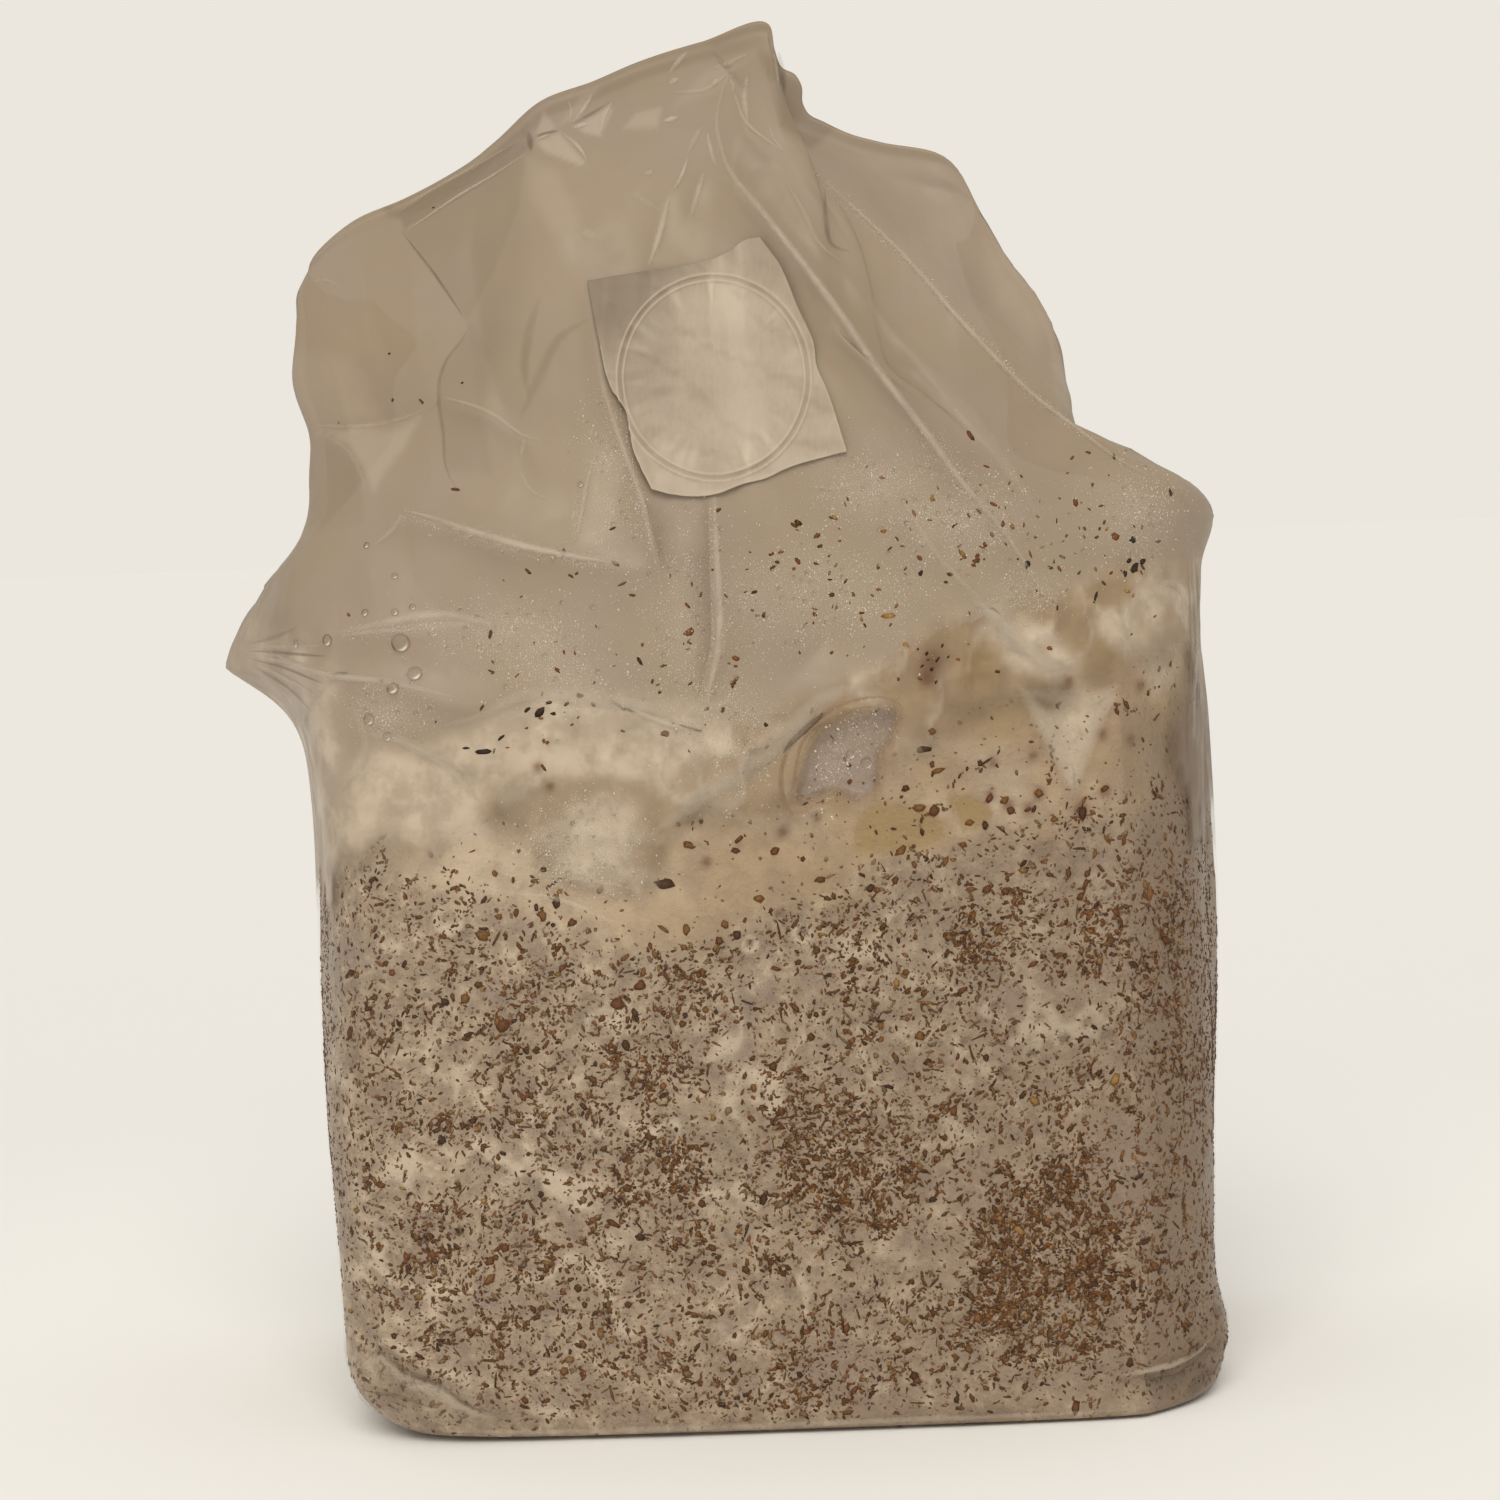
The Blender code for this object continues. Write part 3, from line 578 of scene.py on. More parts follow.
def makeWaterMaterial():
    # nearly clear, with a painted dark rim and one painted bright glint on each drop
    look = Recipe("clear water", 0.04)
    edge, paintedGlint = (look.attribute(name) for name in ("edge", "paintedGlint"))
    look.feed("IOR", 1.33)
    look.feed("Specular IOR Level", 0.9)
    colour = look.blend(look.remap(look.noise(1.5), 0.4, 0.6), (0.36, 0.285, 0.21), (0.44, 0.355, 0.265))
    colour = look.blend(edge, colour, (0.15, 0.105, 0.07))
    look.feed("Base Color", look.blend(paintedGlint, colour, (0.95, 0.88, 0.76)))
    strength = look.maths("ADD", look.maths("MULTIPLY", edge, 0.4), paintedGlint)
    look.feed("Alpha", look.maths("ADD", strength, 0.1))
    return look.material


def makeDewMaterial():
    # pale, half clear and glossy: the pale colour stands partly for painted sparkle on the beads, partly
    # for the mist's whiteness
    look = Recipe("fine dew", 0.15)
    look.feed("Base Color", look.blend(look.remap(look.noise(5), 0.35, 0.65),
                                       (0.78, 0.68, 0.55), (1, 0.92, 0.79)))
    look.feed("Alpha", 0.6)
    look.feed("Specular IOR Level", 0.9)
    return look.material


patchLook = {
    "grey": (0.385, 0.31, 0.235), "sheet": (0.43, 0.352, 0.27), "fibre": (0.52, 0.43, 0.335),
    "dark": (0.21, 0.162, 0.112), "pale": (0.6, 0.505, 0.4),
}


def makePatchMaterial():
    # grey and pale clouds with fibres along and across, then the dark marks and the pale ones, which are
    # partly painted highlights
    look = Recipe("filter sheet", 0.62)
    fibres = look.noise(0.8, 3, 0.6, (1, 1, 0.16))
    cross = look.noise(0.8, 3, 0.6, (0.2, 1, 1))
    cloud = look.noise(9, 3)
    colour = look.blend(look.remap(cloud, 0.35, 0.65), patchLook["grey"], patchLook["sheet"])
    colour = look.blend(look.remap(fibres, 0.35, 0.65, 0, 0.22), colour, patchLook["fibre"])
    colour = look.blend(look.attribute("dark"), colour, patchLook["dark"])
    colour = look.blend(look.attribute("pale"), colour, patchLook["pale"])
    look.feed("Base Color", colour)
    look.bump(look.maths("ADD", fibres, cross), 0.08, 0.6)
    return look.material


# near is painted light round the bag, against its shadow on the floor
floorLook = {"pale": (0.897, 0.902, 0.904), "paler": (0.901, 0.906, 0.908), "near": (0.98, 0.987, 0.99)}


def makeFloorMaterial():
    # a plain floor, with painted light under and round the bag that lifts the bag's shadow
    look = Recipe("pale floor", 0.9)
    look.feed("Specular IOR Level", 0)
    tint = look.blend(look.remap(look.noise(400, 2), 0.3, 0.7), floorLook["pale"], floorLook["paler"])
    scaled = look.add("ShaderNodeMapping", {"Scale": (2.2, 2.2, 2.2)}, {"Vector": look.place})
    near = look.add("ShaderNodeTexGradient", None, {"Vector": scaled.outputs[0]},
                    gradient_type="SPHERICAL")
    tint = look.blend(look.remap(near.outputs["Fac"], 0, 0.7), tint, floorLook["near"])
    look.feed("Base Color", tint)
    return look.material


print("mycelium block")
block = {
    "gap": 0.35, "backHeight": 150, "slack": 0.5, "shoulder": (17, 8),
    "fallBack": (-52, 5),      # y where the top starts and ends its fall to the back
    "lumps": [(94, 18, 24, 32), (-42, 30, 13, 30), (8, 12, 8, 26), (-92, 10, -6, 16)],
    "frontCount": 300, "sideCount": 40, "backCount": 60, "rows": 140, "bendRings": 12, "topRings": 20,
    "recess": (-28, 27, 6),      # middle, half width and depth of the hollow in front
    "creamLine": [(-110, 135), (-101, 134), (-83, 132), (-67, 127), (-47, 118), (-29, 111), (-16, 109),
        (-2, 116), (14, 121), (31, 132), (53, 131), (76, 137), (110, 139)],
    "window": [(10.2, 156.8), (12.6, 161.9), (19.6, 165.7), (27.6, 167), (31, 166.1), (32.2, 163.4),
        (30.2, 158.2), (27.6, 156.1), (26.9, 150.4), (26.3, 147), (22.6, 144.7), (18.8, 146.2),
        (15.5, 147.5), (8.5, 144.4), (6.8, 146.7)],
    "windowDepth": 4,
    # yellow pools, sunken patches darkened with painted shade, and white lumps: outline, softness and
    # strength
    "pools": [
        ([(21, 134), (21, 139), (22.5, 142.7), (27, 144.8), (32, 143.9), (38, 142.3), (41, 139),
          (40, 135), (34, 133), (27, 133)], 1.2, 0.85),
        ([(42.3, 145), (46, 145.6), (50.4, 143.8), (52, 141), (50, 138.6), (45.6, 138)], 0.9, 1),
        ([(46, 169), (46, 175), (48, 179.5), (51, 181), (54, 180), (56, 177), (54, 170)], 3, 0.9),
        ([(44, 166), (55, 168), (62, 163), (61, 157), (52, 156), (45, 160)], 5, 0.4),
        ([(72, 177), (78, 178), (81, 176), (79, 172), (74, 172)], 3, 0.8),
        ([(8, 130), (15, 131), (24, 128), (26, 123), (19, 120), (11, 121)], 2, 0.3),
        ([(14, 144), (18, 141), (22, 146), (18, 150)], 2.5, 0.4)],
    "shadedHollows": [
        ([(-61, 148), (-48, 145), (-38, 145), (-46, 141.5), (-57, 140), (-61, 141)], 3, 0.3),
        ([(-57, 157), (-47, 155), (-32, 152), (-30, 150), (-39, 148), (-52, 149), (-61, 151)], 3, 0.12),
        ([(34, 165), (48, 168), (58, 160), (56, 150), (42, 147), (33, 152)], 5, 0.2),
        ([(-26, 134), (-8, 138), (6, 134), (18, 126), (-3, 112), (-30, 116)], 6, 0.1),
        ([(61, 173), (65, 175), (71, 173), (71, 166), (66, 164.5), (61.5, 167)], 1.8, 0.8),
        ([(84, 162), (91, 163), (99, 156), (98, 142), (88, 142), (83, 147)], 4, 0.55),
        ([(60, 132.5), (62.4, 134.4), (66.3, 135.2), (65.5, 131), (62, 129.5)], 0.8, 0.8),
        ([(97, 184), (100, 177), (96, 170), (92, 176)], 2, 0.5)],
    "whites": [
        ([(-96, 150), (-88, 159), (-81, 163), (-74, 161), (-65, 154), (-63, 142), (-77, 140),
          (-90, 142)], 4, 0.9),
        ([(-62, 170), (-46, 174), (-28, 173), (-8, 167), (-4, 158), (-34, 154), (-60, 157)], 4, 1),
        ([(-50, 143), (-36, 146), (-27, 147), (-28, 136), (-35, 131), (-43, 134)], 4, 0.45),
        ([(-34, 156), (-8, 160), (-4, 150), (-20, 146)], 4, 0.4),
        ([(-99, 118), (-90, 122), (-86, 112), (-92, 100), (-99, 100)], 5, 0.5),
        ([(55, 190), (66, 183), (77, 175), (74, 168), (61, 171), (51, 182)], 3, 1),
        ([(88, 190), (101, 188), (101, 172), (92, 166), (86, 176)], 3.5, 0.9),
        ([(65, 164), (81.3, 167.3), (77, 161.7), (73.4, 155), (70.4, 146.5), (67.6, 157)], 2.4, 0.9),
        ([(77, 130), (82.5, 131), (82, 118), (80.7, 104), (76, 104)], 2, 0.6),
        ([(78, 187), (92, 190), (100, 186), (94, 178), (82, 176)], 4, 0.9),
        ([(55, 186), (63, 184), (66, 176), (58, 172), (52, 178)], 3, 0.6),
        ([(4, 158), (14, 169), (40, 168), (44, 158), (34, 150), (24, 142), (8, 140)], 3, 0.2)],
    "stains": [(40, 176, 3.4), (38.5, 172, 2), (52.5, 152.7, 1.5), (61.8, 153.9, 1.3), (51.6, 145.6, 1.3),
        (55.5, 143.1, 1.5), (62.8, 145, 1.5), (60.2, 142, 1.4), (72.2, 141.2, 2), (77.6, 145, 1.5),
        (85.2, 156.1, 1.3), (77.7, 157.9, 1.5), (-50, 156, 1.2), (-47.5, 151.5, 1.1), (13.3, 148.3, 1.7),
        (12.4, 142, 1.3), (70.5, 170, 1.2), (88, 168, 1.5), (-13, 133, 1.2), (4.5, 139, 1.5)],
    "pits": [(51, 96.7, 2.4), (54.5, 91, 2.6), (61, 94, 2.8), (66.5, 89, 2.4), (72.3, 92.2, 3),
        (76.7, 88.6, 2.6), (43.8, 89, 2.4), (52.6, 81.7, 2.8), (71.8, 79.6, 2.4), (81, 92.9, 3),
        (59, 86, 2), (3, 120, 1.8), (8, 116, 2), (-4, 114, 1.8), (20, 112, 2.2), (33, 117, 2.4),
        (62, 117, 3), (-80, 128, 3), (-72, 122, 3.6)],
    # clusters of sawdust seen in the photo: x, z, size and strength
    "clusters": [(-72, 114, 7, 0.36), (-51, 105, 8, 0.9), (-18, 106, 8, 0.96), (-35, 88.5, 7, 0.96),
        (-23.7, 88, 7, 1.04), (-83, 99, 6, 0.42), (-62, 95, 6, 0.3), (-83, 80, 5, 0.8), (-79, 72, 4, 1),
        (-71, 73.5, 4, 1.1), (-56.5, 87.5, 6, 0.6), (-46, 78, 5, 0.7), (-50, 68, 6, 0.8),
        (-36, 74, 5, 0.4), (-30, 62.7, 8, 0.96), (-22, 61, 4, 1.04), (-92.5, 75, 4, 0.5),
        (-93, 61, 5, 0.5), (-1.5, 76, 6, 0.6), (-1, 57, 6, 0.8), (8.6, 75, 10, 0.83), (14.4, 62, 9, 0.75),
        (25.8, 62.7, 9, 0.68), (57, 44.7, 9, 1.2), (71.7, 37.7, 9, 0.9), (62, 52, 8, 1.2),
        (79.5, 44, 6, 1.1), (50.5, 46, 6, 0.9), (67, 57, 6, 1.3), (28, 51, 7, 0.9), (48, 114, 8, 0.8),
        (91, 100, 9, 0.7), (74, 113, 8, 0.8), (18.7, 107.7, 8, 0.8), (34, 78, 9, 0.45), (68, 76, 10, 0.6),
        (-1.5, 45, 6, 0.7), (92, 117, 8, 0.8), (94, 77, 8, 0.8), (-94, 63, 6, 0.4), (-91, 51, 5, 0.46),
        (-76, 51.6, 8, 0.73), (-60.5, 51, 8, 0.73), (-42, 42.5, 7, 0.79), (-60, 39, 8, 0.66),
        (-76, 44, 7, 0.59), (-94, 36, 4, 0.73), (-83, 38, 6, 0.53), (-21, 48, 8, 0.79),
        (-24.6, 62, 9, 0.8), (-23, 34, 6, 0.59), (-39, 31, 9, 0.59), (-57, 13.4, 8, 0.66),
        (-41, 12.7, 6, 0.59), (-27, 12, 8, 0.73), (-72, 27, 8, 0.59), (-81, 25, 6, 0.46),
        (-67, 24, 6, 0.53), (11, 53, 8, 1.1), (55, 46, 8, 1.1), (76, 39, 9, 0.98), (64, 37, 8, 0.74),
        (55, 33, 7, 0.74), (48, 27, 9, 0.9), (66, 25, 8, 0.74), (81, 33, 6, 0.74), (57, 19, 8, 0.98),
        (41, 20, 7, 0.66), (2, 7, 10, 0.9), (69, 14.5, 7, 0.57), (26, 57.6, 8, 0.98), (90, 22, 6, 0.49),
        (8, 20, 9, 0.5), (24, 26, 10, 0.5), (92, 55, 6, 0.6)],
    # white threads and ridges grown over the sawdust: x and z along each, width, strength
    "smears": [
        ([(-93, 64), (-83, 66), (-71, 68)], 3.5, 0.8),
        ([(-20, 56), (-10, 52), (0, 46)], 3.5, 0.9),
        ([(-58.6, 65), (-50, 58), (-43, 53), (-33, 45), (-20.5, 39.6)], 4.5, 1.1),
        ([(-79, 35), (-61, 35), (-43, 36.7)], 3, 0.6),
        ([(-87, 91), (-78, 86.5), (-68, 81.6)], 5, 0.9),
        ([(-47, 95), (-38.5, 95.6), (-28, 96.5), (-13, 92.7), (-8, 90.5)], 4, 1),
        ([(-98, 87), (-91, 75), (-80, 63), (-71, 53.5)], 3.5, 0.8),
        ([(-68.6, 71), (-60, 66), (-50, 60), (-40.5, 51), (-31, 43)], 3, 0.8),
        ([(-66.5, 116), (-53, 115), (-38, 112)], 5, 0.9),
        ([(-9, 54), (-1, 47), (7, 45), (16, 46)], 4, 0.9),
        ([(-54, 94), (-39, 82), (-34, 79), (-19, 78), (-9, 80)], 4, 0.8),
        ([(34, 93), (43, 98), (46, 103)], 4, 0.7),
        ([(53, 87), (60, 91), (69, 93), (79, 91)], 5, 0.8),
        ([(26, 81), (43, 84), (48, 78.5)], 4, 0.6),
        ([(68, 113), (64, 106), (60, 97)], 3, 0.9),
        ([(-6, 109), (3, 103), (19, 109), (35, 110)], 5, 0.8),
        ([(21, 41), (33, 46), (39, 51), (37, 58)], 3, 0.6),
        ([(18, 40), (26, 42), (37, 38), (48, 33.5)], 3, 0.7),
        ([(-5, 36), (8, 35), (16, 31)], 3.5, 0.6),
        ([(68, 53), (77, 49), (84.5, 51)], 2.5, 0.5),
        ([(73, 65), (62, 61), (55, 65)], 3.5, 0.6)],
    "paintedShadeFrom": (-60, 110),   # painted shade: the ground darkens to the right, between these x, where less light falls
    "clusterStrength": 0.7,
}


def blockTop(x, y):
    # the front's line of contact, falling back to a flat top with round lumps
    near = 1 - ease(*block["fallBack"], y)
    total = block["backHeight"] + (contactAt(x) - block["backHeight"]) * near
    for atX, atY, height, spread in block["lumps"]:
        total = total + height * np.exp(-((x - atX) ** 2 + (y - atY) ** 2) / spread ** 2)
    return total


def blockRim(x, y):
    # the height where the straight side ends and the rounded shoulder starts
    backDrop, frontDrop = block["shoulder"]
    near = 1 - ease(*block["fallBack"], y)
    return blockTop(x, y) - (backDrop + (frontDrop - backDrop) * near)


def spots(x, z, places):
    # soft round spots, each a bell curve of its own size
    total = np.zeros(np.shape(x))
    for atX, atZ, size in places:
        total = total + np.exp(-((x - atX) ** 2 + (z - atZ) ** 2) / size ** 2)
    return np.clip(total, 0, 1)


def filmRows(across, levels):
    # each point's level: the first rows follow the rounded base
    rounding = baseRound((across + 1) / 2)
    low = [rounding * part / bag["levelHeight"] for part in (0, 0.06, 0.14, 0.28, 0.5, 0.75, 1)]
    return np.array(low + [np.full(len(across), level) for level in levels])


def dustField(grid):
    # Where the sawdust shows. In front it is in the clusters listed above, elsewhere in
    # noise, with threads and small knots everywhere. The white threads hold little of it.
    x, z = grid[..., 0], grid[..., 2]
    front = ease(25, 45, -grid[..., 1])
    seen = np.zeros(np.shape(x))
    for atX, atZ, size, strength in block["clusters"]:
        seen = seen + strength * np.exp(-((x - atX) ** 2 + (z - atZ) ** 2) / size ** 2)
    clusters = ease(-0.6, 0.8, layeredNoise(grid, 16, 71, 3))
    clusters = clusters * (1 - 0.8 * front) + front * np.clip(block["clusterStrength"] * seen, 0, 1)
    threads = 1 - np.abs(layeredNoise(grid, 9, 83, 2))
    knots = ease(0.1, 0.9, cellNoise(grid, 4.5, 29))
    broken = ease(-0.7, 0.5, layeredNoise(grid, 7, 91, 3))
    smears = lineGlow(x, z, block["smears"]) * broken * front
    return clusters, clusters * (0.6 + 0.9 * threads ** 7 + 0.7 * knots) * np.exp(-1.1 * smears), smears


def smoothBlock():
    # The bag's own side, drawn in by the gap, stands on its rounded base. Above it the
    # shoulder turns over a quarter circle, and the top closes towards the middle.
    across, deep = ringOfCorners(block["frontCount"], block["sideCount"], block["backCount"])
    inset = block["gap"]
    rim = bagSurface(across, deep, np.full(len(across), bag["blockLevel"]), inset, False)
    rimZ = blockRim(rim[:, 0], rim[:, 1])
    base = bagSurface(across, deep, filmRows(across, []))
    base = base - inset * normalsOf(base)
    base[0, :, 2] = inset
    start = base[-1][:, 2]
    share = (np.arange(1, block["rows"] + 1) / block["rows"])[:, None]
    height = start + (rimZ - start) * share
    slack = inset + block["slack"] * ease(0.75, 1, share)
    side = bagSurface(across[None], deep[None], height / bag["levelHeight"], slack, False)
    side[..., 2] = height
    edge = side[-1]
    turn = (0.5 * math.pi * np.arange(1, block["bendRings"] + 1) / block["bendRings"])[:, None]
    radius = blockTop(edge[:, 0], edge[:, 1]) - edge[:, 2]
    inward = radius * (1 - np.cos(turn))
    bend = np.stack([edge[:, 0] * (1 - inward / bag["halfWide"]),
                     edge[:, 1] * (1 - inward / bag["halfDeep"]),
                     edge[:, 2] + radius * np.sin(turn)], axis=-1)
    share = np.linspace(1, 0.03, block["topRings"] + 1)[1:, None]
    x, y = bend[-1, :, 0] * share, bend[-1, :, 1] * share
    return np.concatenate([base, side, bend, np.stack([x, y, blockTop(x, y)], axis=-1)])


def growthOn(grid):
    # The smooth cream skin lies above a wavy line. The ground below it has a relief of
    # soft noise, sharp veins, slanting streaks and threads grown over the sawdust.
    x, y, z = np.moveaxis(grid, -1, 0)
    creamTop = np.interp(x, *np.array(block["creamLine"], float).T)
    wave = 7 * cellNoise(grid, 24, 5) + 3 * cellNoise(grid, 8, 6)
    cream = ease(-5, 7, z - creamTop + wave)
    relief = 0.5 + 0.5 * layeredNoise(grid, 13, 11, 4, 0.55)
    veins = 1 - np.abs(layeredNoise(grid, 16, 23, 3, 0.5))
    turned = np.stack([(0.87 * x - 0.5 * z) / 4.5, y / 2, 0.5 * x + 0.87 * z], axis=-1)
    streaks = (1 - np.abs(layeredNoise(turned, 6, 37, 3))) ** 5
    streaks = streaks * ease(-0.2, 0.5, cellNoise(grid, 34, 3))
    clusters, dusty, smears = dustField(grid)
    relief = 0.42 * relief + 0.5 * veins ** 4 + 0.3 * streaks + 0.34 * smears - 0.1 * clusters
    return cream, np.clip(relief, 0, 1), dusty


def windowOn(x, z, front):
    # the hollow behind the window, and the raised band along its edge
    inside = insideOf(x, z, block["window"]) & (front > 0.4)
    far = lineField(x, z, block["window"] + block["window"][:1])[0]
    hollow = np.where(inside, ease(0, 1.6, far), 0)
    rimBand = np.exp(-(((far - 0.2) / 0.75) ** 2)) * (front > 0.4) * (z > 100)
    return hollow, rimBand


def makeBlock(material):
    # the smooth block, sunk along its normals by the relief, the pits and the sunken patches,
    # with the values that its material mixes, among them painted shade
    grid = smoothBlock()
    normals = normalsOf(grid)
    x, z = grid[..., 0], grid[..., 2]
    front = np.clip(-normals[..., 1], 0, 1)
    facing = ease(0.2, 0.6, front)
    cream, relief, dusty = growthOn(grid)
    soft = 0.5 + 0.5 * layeredNoise(grid, 26, 31, 4, 0.5)
    names = ("pools", "shadedHollows", "whites")
    pools, shadedHollows, whites = (areaSum(x, z, block[name]) * facing for name in names)
    sink = (1 - cream) * 1.5 * (1 - relief) + cream * 1.6 * (1 - soft)
    sink = sink + 0.7 * shadedHollows + 0.5 * pools * (1 - ease(0, 0.5, whites))
    pits = spots(x, z, block["pits"]) * front
    pitRims = np.clip(4 * pits * (1 - pits), 0, 1) ** 2
    sink = np.clip(sink + 1.5 * pits ** 2 - 0.5 * pitRims, 0, None)
    hollow, rimBand = windowOn(x, z, front)
    sink = sink * (1 - hollow) + block["windowDepth"] * hollow - 0.3 * rimBand
    middle, half, depth = block["recess"]
    recess = np.exp(-(((x - middle) / half) ** 2))
    sink = sink + depth * recess * ease(134, 156, z) * (front > 0.2)
    grounded = ease(1, 6, z) * (0.25 + 0.75 * ease(0.2, 0.7, front))
    grid = grid - normals * (sink * grounded)[..., None]
    lump = np.clip(ease(0.45, 0.95, soft) * 0.7 + 0.5 * ease(0, -70, x), 0, 1)
    # painted shade where less light falls: darker skin and fainter white threads to the right, and more
    # at the edge where the front turns back
    right = ease(*block["paintedShadeFrom"], x)
    corner = (0.5 * ease(82, 90, x) + 0.4 * ease(94, 101, x)) * (1 - cream)
    attributes = {
        "relief": np.clip(relief + 0.5 * pitRims - 0.25 * right, 0, 1), "cream": cream,
        "lump": np.clip(lump + whites - 0.8 * pools, 0, 1),
        "pool": np.clip(pools, 0, 0.9), "hollow": hollow,
        "shade": np.clip(0.75 * shadedHollows + 0.46 * right * (1 - 0.5 * cream) + corner, 0, 0.9),
        "dusty": np.clip(0.26 * dusty, 0, 0.5),
        "stain": np.clip(0.85 * spots(x, z, block["stains"]) * facing, 0, 0.85),
        "rim": 0.85 * rimBand,
    }
    rows, columns = grid.shape[:2]
    lids = (np.arange(columns)[::-1], np.arange(columns) + (rows - 1) * columns)
    piece = newPiece("myceliumBlock", grid, tubeFaces(rows, columns), material, attributes, lids=lids)
    finishPiece(piece, "mycelium", "mycelium_block")
    return grid, cream


blockGrid, blockCream = makeBlock(makeBlockMaterial())


print("scattered sawdust")


def cellAreas(grid):
    # each cell's area, from the cross product of its two sides
    roundWay = np.roll(grid, -1, axis=1)[:-1] - grid[:-1]
    upWay = grid[1:] - grid[:-1]
    return np.linalg.norm(np.cross(roundWay, upWay), axis=-1)


def cellsOn(grid, weights, count, rng):
    # picks cells with chances in proportion to weight times area, then a spot in each
    chances = (weights[:-1] * cellAreas(grid)).ravel()
    picked = rng.choice(len(chances), count, p=chances / chances.sum())
    columns = grid.shape[1]
    return picked // columns + rng.random(count), picked % columns + rng.random(count)


def placesOn(grid, weights, count, rng):
    # random places on a surface, more of them where the weights are high
    return spotsOn(grid, *cellsOn(grid, weights, count, rng))


def spotsOn(grid, row, column):
    # the surface's point, facing and two directions at fractions of its rows and columns
    columns = grid.shape[1]
    low = np.clip(np.floor(row).astype(int), 0, len(grid) - 2)
    here = np.floor(column).astype(int) % columns
    after = (here + 1) % columns
    u, v = (row - low)[:, None], (column - np.floor(column))[:, None]
    a, b = grid[low, here], grid[low, after]
    c, d = grid[low + 1, after], grid[low + 1, here]
    point = (a * (1 - v) + b * v) * (1 - u) + (d * (1 - v) + c * v) * u
    sideways = toLengthOne((b - a) * (1 - u) + (c - d) * u)
    upward = (d - a) * (1 - v) + (c - b) * v
    facing = toLengthOne(np.cross(sideways, upward))
    return point, facing, sideways, np.cross(facing, sideways)


def chipMesh(places, lengths, widths, turns, lift, thick, rng, corners=6):
    # Each chip is a flat many-sided lens: a rim of uneven radius, one point above its
    # middle and one below.
    point, facing, sideways, upward = places
    count = len(point)
    angles = np.arange(corners) * 2 * math.pi / corners + rng.uniform(-0.25, 0.25, (count, corners))
    radii = rng.uniform(0.72, 1.18, (count, corners))
    u = np.cos(angles) * radii * lengths[:, None] / 2
    v = np.sin(angles) * radii * widths[:, None] / 2
    cosTurn, sinTurn = np.cos(turns)[:, None], np.sin(turns)[:, None]
    right, up = u * cosTurn - v * sinTurn, u * sinTurn + v * cosTurn
    middle = point + facing * lift
    rim = middle[:, None] + sideways[:, None] * right[..., None] + upward[:, None] * up[..., None]
    top, bottom = middle + facing * thick, middle - facing * thick
    points = np.concatenate([rim, top[:, None], bottom[:, None]], axis=1)
    first = (np.arange(count) * (corners + 2))[:, None]
    here = first + np.arange(corners)
    after = first + (np.arange(corners) + 1) % corners
    upper = np.stack([here, after, np.broadcast_to(first + corners, here.shape)], axis=-1)
    lower = np.stack([after, here, np.broadcast_to(first + corners + 1, here.shape)], axis=-1)
    faces = np.concatenate([upper.reshape(-1, 3), lower.reshape(-1, 3)])
    return points.reshape(-1, 3), faces


